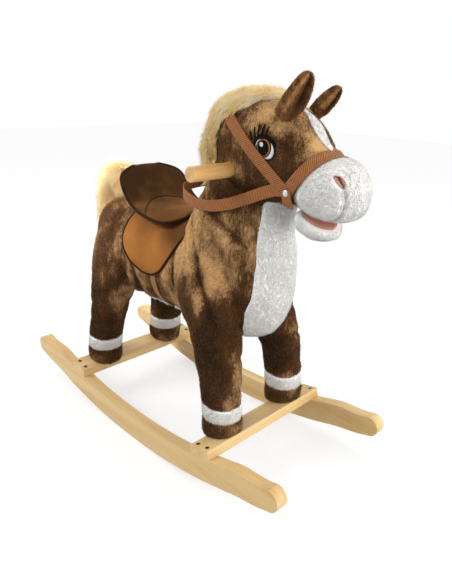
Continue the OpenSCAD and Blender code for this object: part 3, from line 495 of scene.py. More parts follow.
def webMaterial(name, groove, yarn, pitch):
    return grouped(name, webGroup, {"Yarn": linear(*yarn), "Groove": linear(*groove), "Pitch": pitch},
                   {"Roughness": 0.6, "Sheen Weight": 0.1, "Specular IOR Level": 0.15}, (0.7, 0.0006),
                   lambda d: d.node("UVMap", uv_map="UVMap").outputs[0])


def suedeMaterial(name, dark, pale, cloud=22.0, sheen=0.1):
    return grouped(name, suedeGroup, {"Dark": linear(*dark), "Pale": linear(*pale), "Cloud": cloud},
                   {"Roughness": 0.85, "Sheen Weight": sheen, "Sheen Roughness": 0.4, "Sheen Tint": (1, 0.6, 0.3, 1),
                    "Specular IOR Level": 0.06}, (0.25, 0.0005))


def threadMaterial(name, colour, rough=0.45):  # satin stitch: fine threads side by side
    material, d, shader = newMaterial(name, {"Roughness": rough, "Specular IOR Level": 0.12})
    thread = d.noise(d.stretch(d.place(), (300, 300, 1900)), 1.0, 1.0, 0.5)
    colour = linear(*colour)
    dark = tuple(0.62 * k for k in colour[:3]) + (1.0,)
    d.fill(shader.inputs["Base Color"], d.mix(d.spread(thread, 0.35, 0.65), dark, colour))
    d.bumpInto(shader, thread, 0.5, 0.0004)
    return material


def mottled(name, dark, pale, scale, rough, metal=0.0):  # moulded, cast or turned stock
    material, d, shader = newMaterial(name, {"Roughness": rough, "Metallic": metal})
    cloud = d.noise(d.place(), scale, 3.0, 0.6)
    d.fill(shader.inputs["Base Color"], d.mix(d.spread(cloud, 0.35, 0.65), linear(*dark), linear(*pale)))
    d.bumpInto(shader, cloud, 0.1, 0.0003)
    return material


white = {"contrast": 0.6, "sheen": 0.2, "tint": (1, 1, 1, 1)}
blonde = {"contrast": 0.8, "sheen": 0.1}
# Each base pile is painted a little darker than its tufts' material, a painted shade under the fur, most of all the
# blonde base of the mane and tail cores. In each material the first colour is reached in painted shade and dark
# streaks, the third in painted highlights and pale streaks.
brownPile = pileMaterial("brownPlush", (38, 23, 10), (80, 49, 24), (200, 158, 108))
brownFur = pileMaterial("brownPlushPile", (40, 25, 11), (84, 52, 26), (212, 172, 122), contrast=0.9, bump=0)
earPile = pileMaterial("earPlush", (50, 28, 14), (104, 66, 36), (184, 136, 84), patch=40, contrast=0.6)
whitePile = pileMaterial("whitePlush", (240, 237, 231), (249, 248, 244), (255, 254, 252), bump=0.25, **white)
whiteFur = pileMaterial("whitePlushPile", (244, 242, 237), (252, 251, 248), (255, 255, 254), bump=0, **white)
blondePile = pileMaterial("blondeFurBase", (222, 170, 96), (246, 208, 138), (255, 232, 184), **blonde)
blondeFur = pileMaterial("blondeFur", (240, 192, 114), (255, 228, 166), (255, 249, 224), bump=0, **blonde)
pinkPlush = pileMaterial("pinkLining", (150, 98, 86), (192, 140, 124), (216, 172, 156), contrast=0.5, sheen=0.2)
nostrilPlush = pileMaterial("nostrilLining", (84, 52, 48), (176, 132, 118), (206, 170, 156), contrast=0.3, sheen=0.2)
seatSuede = suedeMaterial("saddleSuede", (62, 40, 19), (128, 83, 41))
flapSuede = suedeMaterial("flapSuede", (92, 57, 28), (156, 102, 50), 14.0)
bindingTape = suedeMaterial("edgeBinding", (32, 19, 13), (54, 33, 23), 60.0, 0.15)
# first colour: painted shade in the weave's grooves; second: the yarn
strapWeb = webMaterial("bridleWebbing", (78, 45, 24), (176, 112, 62), 2.8)
girthWeb = webMaterial("girthWebbing", (96, 62, 34), (164, 116, 70), 2.4)
stitchBlack = threadMaterial("blackStitching", (4, 4, 4), 0.8)
stitchWhite = threadMaterial("whiteStitching", (236, 236, 238))
stitchAmber = threadMaterial("amberStitching", (186, 112, 44))
pine = ((228, 196, 140), (204, 162, 100))
rockerWood = woodMaterial("rockerPine", *pine, (0, 0, -90))
crossbarWood = woodMaterial("crossbarPine", *pine, (0, 0, 0))
frameWood = woodMaterial("framePine", (222, 190, 140), (186, 142, 88), (0, 90, 0))
handleWood = woodMaterial("handleWood", (222, 178, 112), (176, 122, 62), (0, 0, 0), 1.1, 0.6, 0.4)
screwSteel = mottled("screwSteel", (60, 60, 62), (96, 96, 100), 400.0, 0.35, 0.9)
rivetSteel = mottled("rivetSteel", (180, 180, 184), (220, 220, 224), 300.0, 0.25, 1.0)
pinSteel = mottled("pinSteel", (150, 150, 154), (190, 190, 194), 300.0, 0.3, 1.0)
drivePlastic = mottled("drivePlastic", (52, 54, 58), (72, 74, 78), 500.0, 0.5)
cellMetal = mottled("cellMetal", (160, 130, 60), (200, 168, 88), 200.0, 0.35, 0.8)
buttonRed = mottled("buttonRed", (170, 24, 26), (200, 40, 40), 300.0, 0.4)


# ---- rein: one hanging loop of webbing from cheek to cheek behind the neck
webSection = {"around": 14, "fullness": 6}
reinSet = {"wide": 17 * mm, "thick": 1.7 * mm, "half": [
    [46.6, -236, 473], [49.2, -222, 472], [53.6, -205, 466], [59, -178, 454], [64, -150, 443], [68, -122, 436],
    [69, -95, 434], [67, -70, 437], [60, -48, 442], [46, -34, 447], [26, -27, 450], [8, -25, 451]]}
reinHalf = np.array(reinSet["half"], float)
reinPath = smoothRows(np.concatenate([reinHalf * [-1, 1, 1], reinHalf[::-1]]), 161) * mm
rein = sweep("reinStrap", reinPath, reinSet["wide"] / 2, reinSet["thick"] / 2, side=[0, 0, 1] + 0 * reinPath,
             **webSection)
dress(rein, strapWeb, "webbing", ["rein"])
tuple(reinPath[0])
[tuple(p) for p in reinPath]


# ---- plush body: trunk, neck, head and legs sewn into one stuffed skin

bodySet = {
    "voxel": 0.0036, "rounds": 10, "around": 96, "trunk": (10, 216, 78, 86, 312), "headHalf": 53, "hoof": (77, 33),
    "foot": (173.8, 74.1, 0.198), "legTop": 345, "legFoot": 62.1, "cuffGap": 0.6,
    "boxy": (-200, -60),
    "full": {"trunk": 2.15, "neck": 2.1, "leg": 2.1, "head": 2.3, "muzzle": 2.25, "jaw": 2.2},
    # place along, width share, height share, rise
    "trunkRows": [[1, 0.2, 0.24, 10], [0.98, 0.5, 0.54, 10], [0.92, 0.77, 0.79, 8], [0.79, 0.93, 0.95, 3],
                  [0.6, 0.99, 1, -2], [0.37, 1, 1, -5], [0.09, 0.98, 0.98, -6], [-0.18, 0.97, 1, -5],
                  [-0.42, 0.98, 1.08, 0], [-0.63, 0.96, 1.14, 6], [-0.79, 0.86, 1.14, 10],
                  [-0.9, 0.7, 1.07, 14], [-0.97, 0.48, 0.88, 18], [-1, 0.26, 0.58, 20]],
    # height, place, half width, half depth
    "neckRows": [[326, -102, 74, 98], [360, -105, 72, 98], [392, -112, 67, 92], [424, -122, 60, 84],
                 [454, -131, 53, 75], [484, -138, 49, 66], [517, -140, 47, 60]],
    # place, height, width share, half height, lean
    "headRows": [[-72, 543, 0.28, 20, 0], [-80, 542, 0.62, 37, 0], [-102, 540, 0.84, 50, 0],
                 [-132, 538, 0.95, 56, 0], [-162, 531, 1, 61, 8], [-190, 522, 1, 62.5, 16],
                 [-215.4, 506, 0.97, 60.5, 24], [-236, 493, 0.92, 50.5, 30], [-259.6, 483, 0.87, 40.5, 32]],
    # share of height, shift across, shift outwards, more half width, more half depth
    "frontLeg": [[0, 0, -11, -2, -2], [0.09, 0, -6, -2, -2], [0.2, 0, -2.5, -2.5, -1.5], [0.3, 0, -1, -2.5, 0],
                 [0.44, -3, -1.5, 0, 3.5], [0.59, -9, -7, 3.5, 9.5], [0.7, -13, -18, 5, 19],
                 [0.8, -17, -26, 4, 29], [0.91, -21, -29, -1, 30], [1, -27, -27, -6, 23]],
    "rearLeg": [[0, 0, 1, -2, -2], [0.09, 0, 6, -1.5, -1.5], [0.18, 0, 8, -2, -0.5], [0.27, -1, 9, -1.5, 0.5],
                [0.38, -3, 8, -0.5, 2], [0.5, -6, 9, 0.5, 6], [0.61, -10, 11, 2.5, 13.5], [0.7, -14, 14, 3, 20],
                [0.8, -19, 22, 1, 22], [0.91, -25, 31, -2, 17], [1, -31, 39, -7, 7]]}
around, full = bodySet["around"], bodySet["full"]


def trunkRows(count=60):
    y0, reach, halfWide, halfHigh, z0 = bodySet["trunk"]
    a, w, h, rise = smoothRows(bodySet["trunkRows"], count).T
    return rowsOf([0, y0 + a * reach, z0 + rise, w * halfWide, h * halfHigh, 90, full["trunk"], 0])


def legRows(side, end, low, high, count):
    g, *columns = smoothRows(bodySet["frontLeg" if end < 0 else "rearLeg"], 200).T
    z = bodySet["legFoot"] + g * (bodySet["legTop"] - bodySet["legFoot"])
    at = np.linspace(low, high, count)
    footY, footZ, slope = bodySet["foot"]
    hoofX, half = bodySet["hoof"]
    dx, out, wide, deep = (np.interp(at, z, v) for v in columns)
    axis = footY - (at - footZ) * slope
    return rowsOf([side * (hoofX + dx), end * (axis + out), at, half + wide, half + deep, 0, full["leg"], 0])


def leaningRows(table, count, half, fullness, heavy=0):  # from place, height, width share, half height, lean
    y, z, w, h, lean = smoothRows(table, count).T
    return rowsOf([0, y, z, w * half, h, 90 + lean, fullness, heavy])


hoofTop, cuffTop = (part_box(node)[1][2] / mm for node in ("front_hooves", "front_cuffs"))
z, y, w, h = smoothRows(bodySet["neckRows"], 30).T
headRows = leaningRows(bodySet["headRows"], 40, bodySet["headHalf"], full["head"], 0.08)
headRows[:, 6] += 0.3 * ramp(headRows[:, 1], *bodySet["boxy"])  # boxier towards the nose
bodyRows = [trunkRows(), rowsOf([0, y, z, w, h, 0, full["neck"], 0]), headRows]
bodyRows += [legRows(side, end, cuffTop + bodySet["cuffGap"], bodySet["legTop"], 40)
             for side in (-1, 1) for end in (-1, 1)]
skins = [ringSkin("bodyPart", ovalSections(rows, around) * mm) for rows in bodyRows]
coat = remeshed(merged("plushCoat", skins), bodySet["voxel"], bodySet["rounds"])

# Seams and soft folds: (y, z) lines on both flanks, with how deep, how wide and how far the cloth
# swells beside them, all in millimetres.
foldSet = {
    "shoulder": ([[-46, 428], [-66, 390], [-92, 352], [-118, 318], [-142, 286], [-162, 252]], 5.0, 6, 3.0),
    "elbow": ([[-20, 420], [-30, 384], [-34, 336], [-40, 290], [-56, 250], [-84, 222]], 4.0, 6, 2.5),
    "withers": ([[-60, 448], [-98, 428], [-140, 408], [-176, 384]], 3.0, 7, 2.0),
    "breast": ([[-112, 408], [-140, 366], [-162, 322], [-176, 284]], 2.2, 7, 1.6),
    "flank": ([[84, 330], [74, 296], [70, 262], [82, 236], [104, 222]], 4.5, 7, 2.5),
    "haunch": ([[112, 352], [96, 318], [94, 284], [112, 250], [140, 228]], 2.0, 7, 1.4),
    "knee": ([[-196, 214], [-168, 198], [-138, 200], [-112, 214]], 1.2, 6, 0.8),
    "kneeLow": ([[-204, 160], [-178, 150], [-150, 156], [-128, 170]], 0.9, 6, 0.6),
    "hock": ([[122, 210], [148, 196], [180, 196], [206, 212]], 1.0, 6, 0.8),
    "jowl": ([[-118, 496], [-134, 478], [-158, 466], [-186, 462]], 2.4, 6, 1.6),
    "cheek": ([[-176, 560], [-196, 548], [-222, 536], [-246, 520]], 1.6, 5, 1.2)}

# Painted highlights and painted shade: spots where the pile is painted pale as if its nap caught the light, or dark as
# in shade: place, height, reach of both, amount
paintedLightSpots = [
    [-56, 328, 18, 60, 1.2], [-64, 385, 18, 28, 0.8], [-52, 274, 16, 30, 0.7], [-131, 388, 24, 28, 1.0],
    [-154, 345, 20, 30, 0.8], [-100, 404, 20, 20, 0.8], [114, 401, 34, 14, 1.0], [31, 273, 10, 20, 0.7],
    [-191, 222, 10, 40, 0.8], [-194, 157, 8, 30, 0.7], [150, 200, 22, 30, -0.9], [-209, 586, 24, 16, 1.0],
    [-216, 549, 16, 14, 0.5], [-259, 560, 28, 24, 1.1], [-275, 535, 20, 18, 0.8], [-150, 588, 60, 12, 0.6],
    [-128, 462, 34, 26, -0.4], [-174, 455, 40, 18, -0.5], [-150, 240, 28, 50, -1.9], [-156, 165, 30, 36, -1.4],
    [176, 230, 34, 56, -1.2], [150, 150, 30, 30, -1.0], [-177, 480, 26, 26, -0.2], [-129, 507, 24, 30, -0.4],
    [-229, 500, 18, 14, -0.4], [-236, 528, 12, 12, -0.1], [74, 270, 26, 30, -0.9], [-183, 379, 16, 40, 0.5],
    [160, 340, 40, 40, -0.2], [-100, 300, 14, 40, -0.4], [70, 392, 30, 13, 0.9], [-138, 488, 18, 20, 0.6]]

# Folds fade at their ends and off the flanks, and swell beside at shares of their width. Waves have
# a size and a seed, and grow on the legs. Mounds are the eye's shallow socket and the brow over it:
# place, height, share along, reach, rise. Nothing lifts above "most" within "saddle" (place, half
# length, low, high) or over the height "bridle".
reliefSet = {"ends": (0.03, 0.97), "flank": (26, 16), "beside": (2.4, 1.6), "waves": ((46, 5), (21, 9)),
             "legs": (300, -90), "rough": (0.9, 0.5), "mounds": ((-205, 522, 1, 17, -2.2), (-196, 552, 0.6, 12, 2.4)),
             "saddle": (26, 84, 285, 420), "bridle": 440, "most": 0.4, "crest": 1.2, "tone": 0.45}


def nearestOn(points, line):  # distance from each point to a line of points, and the share along it
    a, b = line[:-1], line[1:]
    run = b - a
    t = clamp(((points[:, None] - a) * run).sum(-1) / (run * run).sum(-1))
    gap = np.linalg.norm(points[:, None] - (a + t[..., None] * run), axis=-1)
    best = gap.argmin(1)
    pick = np.arange(len(points))
    return gap[pick, best], (best + t[pick, best]) / len(a)


def shapeCoat(piece):
    mesh = piece.data
    verts, normals = vertsOf(mesh), normalsOf(mesh)
    p = verts / mm
    shift, crest = np.zeros(len(p)), np.zeros(len(p))
    away, broad = reliefSet["beside"]
    for line, depth, width, swell in foldSet.values():
        d, share = nearestOn(p[:, 1:], smoothRows(line, 24))
        fade = clamp(np.sin(np.pi * np.clip(share, *reliefSet["ends"])) * 3)
        sideOn = ramp(np.abs(p[:, 0]), *reliefSet["flank"]) * fade
        beside = bell(d - away * width, broad * width)
        shift += sideOn * (swell * beside - depth * bell(d, width))
        # painted highlight beside each fold and painted shade down its middle
        crest += sideOn * min(depth / 4, 1) * (0.6 * beside - 0.8 * bell(d, 0.6 * width))
    # painted highlights and painted shade from the spots
    for y0, z0, halfY, halfZ, amount in paintedLightSpots:
        crest += amount * np.exp(-((p[:, 1] - y0) / halfY) ** 2 - ((p[:, 2] - z0) / halfZ) ** 2)
    broadWave, fineWave = reliefSet["waves"]
    rough = softWaves(p * [1, 1, 0.7], *broadWave) + 0.5 * softWaves(p, *fineWave)
    least, more = reliefSet["rough"]
    shift += rough * (least + more * ramp(p[:, 2], *reliefSet["legs"]))
    # painted highlight where the cloth bulges out and painted shade in its dips
    crest += rough * 0.3
    for y0, z0, along, reach, rise in reliefSet["mounds"]:
        shift += rise * bell(np.linalg.norm((p - [0, y0, z0]) * [0, along, 1], axis=1), reach)
    middle, half, low, high = reliefSet["saddle"]
    held = (np.abs(p[:, 1] - middle) < half) & (p[:, 2] > low) & (p[:, 2] < high) | (p[:, 2] > reliefSet["bridle"])
    shift = np.where(held, np.minimum(shift, reliefSet["most"]), shift)
    placeVerts(mesh, verts + normals * shift[:, None] * mm)
    markPile(piece, np.clip(crest, -reliefSet["crest"], reliefSet["crest"]), reliefSet["tone"])


shapeCoat(coat)

# The mouth: the cloth stops at the room in which the jaw moves
mouthSet = {"pin": (-228, 457), "upper": 17, "lower": 30, "half": 38, "room": [
    [-9, -9], [-14, -5.5], [-80, -35], [-80, -70], [-4, -40]]}
outline = np.array(mouthSet["room"], float) + mouthSet["pin"]
ring = np.stack([np.column_stack([np.full(len(outline), x), outline]) for x in (-mouthSet["half"], mouthSet["half"])])
mouthRoom = ringSkin("mouthRoom", ring * mm)
cut = coat.modifiers.new("mouth", "BOOLEAN")
cut.object = mouthRoom
cut.operation = "DIFFERENCE"
cut.solver = "EXACT"
settle(coat)
bpy.data.objects.remove(mouthRoom)
dress(coat, brownPile, "plush_brown", ["torso", "neck", "head", "front_right_leg", "front_left_leg", "rear_right_leg",
                                       "rear_left_leg"])
print("plush coat made,", len(coat.data.polygons), "faces")


# ---- sewn-on white panels cut from the coat's own surface

def panelFrom(name, source, keep, lift, thick, rounds):
    verts, normals, tri = vertsOf(source.data), normalsOf(source.data), facesOf(source.data)
    tri = tri[keep(verts[tri].mean(1) / mm, normals[tri].mean(1))]
    used, tri = np.unique(tri, return_inverse=True)
    tri = tri.reshape(-1, 3)
    v, n = verts[used], normals[used]
    # the cut edge is evened out by moving each rim point between its two neighbours
    edges = np.concatenate([tri[:, [0, 1]], tri[:, [1, 2]], tri[:, [2, 0]]])
    pairs, times = np.unique(np.sort(edges, 1), axis=0, return_counts=True)
    rim = pairs[times == 1]
    for _ in range(rounds):
        total, count = np.zeros_like(v), np.zeros(len(v))
        for a, b in ((0, 1), (1, 0)):
            np.add.at(total, rim[:, a], v[rim[:, b]])
            np.add.at(count, rim[:, a], 1)
        on = count > 0
        v[on] = 0.5 * v[on] + 0.5 * total[on] / count[on, None]
    low, high = v + n * lift * mm, v + n * (lift + thick) * mm
    m = len(v)
    there, back = (edges[:, a].astype(np.int64) * m + edges[:, b] for a, b in ((0, 1), (1, 0)))
    cutEdges = edges[~np.isin(there, back)]
    walls = np.stack([cutEdges[:, 0], cutEdges[:, 1], cutEdges[:, 1] + m, cutEdges[:, 0] + m], -1)
    return meshFrom(name, np.concatenate([low, high]), [np.concatenate([tri[:, ::-1], tri + m]), walls])


# Rows from the top down: height and half width
bibSet = {"rows": [[450, 34], [430, 37], [382, 42], [327, 48], [282, 52], [250, 46], [222, 26]], "back": -112,
          "top": 450}
blazeSet = {"rows": [[574, 1], [566, 5], [555, 9.5], [543, 9.5], [532, 6], [524, 1]], "back": -210, "low": 522}
bellySet = {"half": 38, "facing": -0.3, "top": 262, "girth": (14, 14), "gap": 7.6, "end": 94}


def halfAt(rows, z):
    rows = np.array(rows, float)[::-1]
    return np.interp(z, rows[:, 0], rows[:, 1], left=0, right=0)


def onBib(c, n):
    return (np.abs(c[:, 0]) < halfAt(bibSet["rows"], c[:, 2])) & (c[:, 1] < bibSet["back"]) & (c[:, 2] < bibSet["top"])


def onBelly(c, n):
    return (np.abs(c[:, 0]) < bellySet["half"]) & (n[:, 2] < bellySet["facing"]) & (c[:, 2] < bellySet["top"])


def onFrontBelly(c, n):
    return onBelly(c, n) & (c[:, 1] > bibSet["back"]) & (c[:, 1] < bellySet["girth"][0] - bellySet["gap"])


def onPocket(c, n):
    return onBelly(c, n) & (c[:, 1] > bellySet["girth"][0] + bellySet["gap"]) & (c[:, 1] < bellySet["end"])


def onBlaze(c, n):
    inside = np.abs(c[:, 0]) < halfAt(blazeSet["rows"], c[:, 2])
    return inside & (c[:, 1] < blazeSet["back"]) & (c[:, 2] > blazeSet["low"])


def makePanel(name, keep, node, thick=2.4, rounds=6):
    panel = dress(panelFrom(name, coat, keep, 0.2, thick, rounds), whitePile, "plush_white", [node])
    return panel


bib, belly = makePanel("whiteBib", onBib, "bib"), makePanel("whiteBelly", onFrontBelly, "belly_panel")
pocket, blaze = makePanel("pocketFlap", onPocket, "pocket_flap"), makePanel("whiteBlaze", onBlaze, "blaze", 2.0, 3)
print("white panels made")


# ---- muzzle, lower jaw and mouth lining

# The front starts and fills at these places and heights; swell and crease are height and width, the
# painted shade in the seam's crease is depth, width and start, and the lip is gap, rounding, rise and where the rise
# runs.
muzzleSet = {"half": 49, "middle": (0, -285, 468), "front": (-292, -14), "bridge": (500, -20), "swell": (1.6, 13.0),
             "crease": (5.5, 3.6), "seam": (31, 490, 0.05), "dark": (1.2, 2.4, -298), "under": 1.2,
             "lip": (0.8, 5, 8, 46, 44), "rows": [
    [-259, 483.6, 0.93, 42, 32], [-268, 480.4, 0.98, 44, 29], [-283, 475.6, 1, 45, 22], [-298, 471.6, 0.96, 42, 17],
    [-311, 467, 0.85, 35, 13], [-322, 464, 0.62, 24, 10], [-328, 462, 0.24, 9, 8]]}
jawSet = {"half": 36, "rows": [
    [-12, -17, 0.62, 7, 28], [-18, -22, 0.84, 12, 28], [-28, -27, 0.97, 16, 26], [-40, -32, 1, 16, 25],
    [-51, -37, 0.88, 13, 25], [-59, -41, 0.58, 8, 25], [-63, -43, 0.24, 4, 25]]}
muzzleRows = leaningRows(muzzleSet["rows"], 46, muzzleSet["half"], full["muzzle"])
pinY, pinZ = mouthSet["pin"]
upperSlope, lowerSlope = (math.tan(math.radians(mouthSet[k])) for k in ("upper", "lower"))


def softMax(a, b, k):  # the larger of two heights, rounded where they meet
    return 0.5 * (a + b + np.sqrt((a - b) ** 2 + k * k))


def fromSeam(x, z):  # distance across from the seam that runs from the nostril down to the lip
    out, height, slope = muzzleSet["seam"]
    return np.abs(x) - (out + (z - height) * slope)


def lipHeight(ahead, gap):  # the upper lip rises towards the nose
    rise, *run = muzzleSet["lip"][2:]
    return pinZ - upperSlope * ahead + gap + rise * ramp(ahead, *run) ** 1.5


def makeMuzzle():
    grid = ovalSections(muzzleRows, 120)
    # the nose swells between the two seams
    front = ramp(grid[..., 1], *muzzleSet["front"]) * ramp(grid[..., 2], *muzzleSet["bridge"])
    gap = fromSeam(grid[..., 0], grid[..., 2])
    (swell, broad), (crease, narrow) = muzzleSet["swell"], muzzleSet["crease"]
    rise = front * (swell * bell(gap, broad) - crease * bell(gap, narrow)) - muzzleSet["under"]
    grid += unit(grid - muzzleSet["middle"]) * rise[..., None]
    lip, rounding = muzzleSet["lip"][:2]
    grid[..., 2] = softMax(grid[..., 2], lipHeight(pinY - grid[..., 1], lip), rounding)
    piece = ringSkin("whiteMuzzle", grid * mm)
    p = vertsOf(piece.data) / mm
    depth, width, start = muzzleSet["dark"]
    # painted shade down the seam's crease from the nostril to the lip
    seamShade = bell(fromSeam(p[:, 0], p[:, 2]), width) * (p[:, 1] < start) * (p[:, 2] < muzzleSet["seam"][1])
    markPile(piece, 0.4 * softWaves(p, 34, 3) - depth * seamShade, 0.5)
    return piece


def makeJaw():
    grid = ovalSections(leaningRows(jawSet["rows"], 34, jawSet["half"], full["jaw"]), 96)
    grid[..., 2] = -softMax(-grid[..., 2], 0.8 - lowerSlope * grid[..., 1], 3.5)
    piece = ringSkin("whiteJaw", (grid + [0, pinY, pinZ]) * mm)
    markPile(piece, 0.4 * softWaves(vertsOf(piece.data) / mm, 26, 4), 0.5)
    return piece


muzzle = dress(makeMuzzle(), whitePile, "plush_white", ["muzzle"])
jaw = dress(makeJaw(), whitePile, "plush_white", ["lower_jaw"], "jaw")

# Linings: pillows lying on the two lip planes, with start, stop, half width and thickness; the half
# width falls with the square root of one less the 3.2th power of the share of the length
liningSet = {"palate": (26, 66, 33, 3.2), "tongue": (24, 60, 30, 5.0)}


def makeLining(name, start, stop, halfWide, thick, slope, above):
    s = np.linspace(0, 1, 36)
    reach = start + (stop - start) * s
    a = turns(48)
    wide = halfWide * np.sqrt(clamp(1 - s**3.2)) * (0.88 + 0.12 * np.sin(np.pi * s)) + 0.02
    x = wide[:, None] * rounded(np.cos(a), 0.8)
    crown = thick * (0.35 + 0.65 * np.sin(np.pi * np.clip(s, 0.04, 0.96)))[:, None] * np.sin(a)
    dent = 1 - 0.35 * bell(x, 4) * (np.sin(a) * above > 0)
    z = pinZ - slope * reach[:, None] + above * (thick * 0.45 + 0.15) + crown * dent
    return ringSkin(name, np.stack([x, pinY - reach[:, None] + 0 * x, z], -1) * mm)


palate = dress(makeLining("mouthRoof", *liningSet["palate"], upperSlope, -1), pinkPlush, "plush_pink", ["palate"])
tongue = dress(makeLining("tonguePad", *liningSet["tongue"], lowerSlope, 1), pinkPlush, "plush_pink", ["tongue"], "jaw")


# A piece is laid on another along one axis, then lifted by its own amount at each vertex
def layOn(piece, target, axis, side, lift):
    wrapOn(piece, target, 0.0, inward=side > 0, axis="xyz"[axis])
    verts = vertsOf(piece.data)
    verts[:, axis] += side * lift * mm
    placeVerts(piece.data, verts)
    return piece


# Nostrils: a stitched oval with a raised rim, and painted shade down the fold in its middle
nostrilSet = {"x": 32, "z": 494, "ahead": -345, "half": (5, 7.8), "tilt": -14, "around": 36,
              "rim": (0.9, 1.5, 0.7, 0.22), "sink": -0.4, "foldShade": (-1.8, 0.42, 0.5)}


def makeNostril(side):
    s = np.linspace(0.02, 1, 12)[:, None]
    a = turns(nostrilSet["around"])
    u, v = s * np.cos(a) * nostrilSet["half"][0], s * np.sin(a) * nostrilSet["half"][1]
    t = math.radians(side * nostrilSet["tilt"])
    x = side * nostrilSet["x"] + u * math.cos(t) - v * math.sin(t)
    z = nostrilSet["z"] + u * math.sin(t) + v * math.cos(t)
    grid = np.stack([x, np.full_like(x, nostrilSet["ahead"]), z], -1)
    grid = np.concatenate([grid, grid[::-1] + [0, -1e-3, 0]])
    # painted shade down the fold in the nostril's middle
    (least, rise, at, width), (dark, narrow, pale) = nostrilSet["rim"], nostrilSet["foldShade"]
    height = np.concatenate([0 * s[:, 0] + nostrilSet["sink"], (least + rise * bell(s[:, 0] - at, width))[::-1]])
    lift = np.concatenate([np.repeat(height, nostrilSet["around"]), height[[0, -1]]])
    across = np.abs(s * np.cos(a))
    across = np.concatenate([across.ravel(), across[::-1].ravel(), [0, 0]])
    return layOn(ringSkin("nostrilPart", grid * mm), muzzle, 1, -1, lift), dark * bell(across, narrow) + pale


parts, foldShades = zip(*[makeNostril(side) for side in (-1, 1)])
nostrils = dress(merged("nostrilRims", parts), nostrilPlush, "plush_pink", ["nostrils"])
markPile(nostrils, np.concatenate(foldShades), 0.4)
print("muzzle and jaw made")


# ---- cuffs and hooves

bandSet = {"rings": 22, "around": 80, "gap": 0.3, "hoof": 26, "swell": (1.6, 0.4), "inset": 1.4, "sole": 2.4,
           "lift": 0.4, "waves": (24, 12), "wave": 0.6}


def makeBand(name, side, end, low, high, swell, sole=False):
    s = np.linspace(0, 1, bandSet["rings"])
    rows = legRows(side, end, low, high, bandSet["rings"])
    bulge = swell * np.sin(np.pi * s) ** 0.5 - bandSet["inset"]
    if sole:
        bulge = swell * (1 - 0.9 * (1 - s) ** 6) - bandSet["inset"] * s**8 - bandSet["sole"] * (1 - s) ** 10
    rows[:, 3:5] += bulge[:, None]
    grid = ovalSections(rows, bandSet["around"])
    if sole:
        footY, footZ, slope = bodySet["foot"]
        ground = footZ + slope * (np.abs(grid[..., 1]) - footY) + bandSet["lift"]
        grid[..., 2] = ground + (high - ground) * s[:, None]
    wave = softWaves(grid.reshape(-1, 3), *bandSet["waves"]).reshape(grid.shape[:2]) * bandSet["wave"]
    grid[..., :2] += (unit(grid - rows[:, None, :3]) * wave[..., None])[..., :2]
    return ringSkin(name, grid * mm)


for end, word in ((-1, "front"), (1, "rear")):
    cuffSwell, hoofSwell = bandSet["swell"]
    pair = [makeBand("cuffPart", side, end, hoofTop + bandSet["gap"], cuffTop, cuffSwell) for side in (-1, 1)]
    cuff = dress(merged(word + "Cuffs", pair), whitePile, "plush_white", [word + "_cuffs"])
    pair = [makeBand("hoofPart", side, end, hoofTop - bandSet["hoof"], hoofTop, hoofSwell, True) for side in (-1, 1)]
    hoof = dress(merged(word + "Hooves", pair), brownPile, "plush_brown", [word + "_hooves"])
    for band in (cuff, hoof):
        markPile(band, 0.5 * softWaves(vertsOf(band.data) / mm, 30, 8), 0.45)
print("cuffs and hooves made")


# ---- ears: stuffed cones with a deep fold towards the outside

earSet = {"root": (33, -216, 568), "lean": 42, "out": (6, 9), "length": (66, 50), "slim": (1, 0.76), "back": (0, 5),
          "half": 17, "fold": (-1.35, 0.45), "rim": (0.32, 0.6, 0.72, 0.3), "pale": (1.2, 0.95, 0.3),
          "dark": (1.9, 0.55),
          "rows": [[0, 0.8, 12, 0, 0.02], [0.2, 0.98, 13, 0, 0.08], [0.45, 1, 12.5, 1, 0.36], [0.7, 0.86, 11, 2, 0.6],
                   [0.88, 0.64, 8.5, 3, 0.6], [0.97, 0.38, 5.5, 3, 0.5], [1, 0.1, 1.6, 3, 0.3]]}


def makeEar(side):
    t, *columns = smoothRows(earSet["rows"], 40).T
    wide, deep, back, groove = (c[:, None] for c in columns)
    a = turns(72)
    turn, spread = earSet["fold"]
    gap = np.angle(np.exp(1j * (a - turn)))
    lift, power, at, width = earSet["rim"]
    rim = lift * np.sin(np.pi * clamp(t)) ** power
    pull = 1 - groove * bell(gap, spread) + rim[:, None] * bell(np.abs(gap) - at, width)
    length, slim, out, bend = (earSet[key][int(side > 0)] for key in ("length", "slim", "out", "back"))
    x = wide * earSet["half"] * slim * np.cos(a) * pull
    y = deep * slim * np.sin(a) * pull + back - (bend * t**2)[:, None]
    z = length * t[:, None] + 0 * x
    lean, out = math.radians(earSet["lean"]), math.radians(out)
    y, z = y * math.cos(lean) - z * math.sin(lean), y * math.sin(lean) + z * math.cos(lean)
    x, z = x * math.cos(out) + z * math.sin(out), -x * math.sin(out) + z * math.cos(out)
    grid = (np.stack([x, y, z], -1) + earSet["root"]) * [side, 1, 1]
    piece = ringSkin("rightEar" if side < 0 else "leftEar", grid * mm)
    # painted highlight along both rims of the fold and painted shade down the fold
    (pale, at, width), (dark, narrow) = earSet["pale"], earSet["dark"]
    ring = pale * bell(np.abs(gap) - at, width) - dark * bell(gap, narrow)
    crest = np.concatenate([(ring[None] * clamp(t * 2.4)[:, None]).ravel(), [0, 0]])
    markPile(piece, crest + 0.35 * softWaves(vertsOf(piece.data) / mm, 16, 2), 0.55)
    return piece


ears = [dress(makeEar(side), earPile, "plush_brown", [name]) for side, name in ((-1, "right_ear"), (1, "left_ear"))]

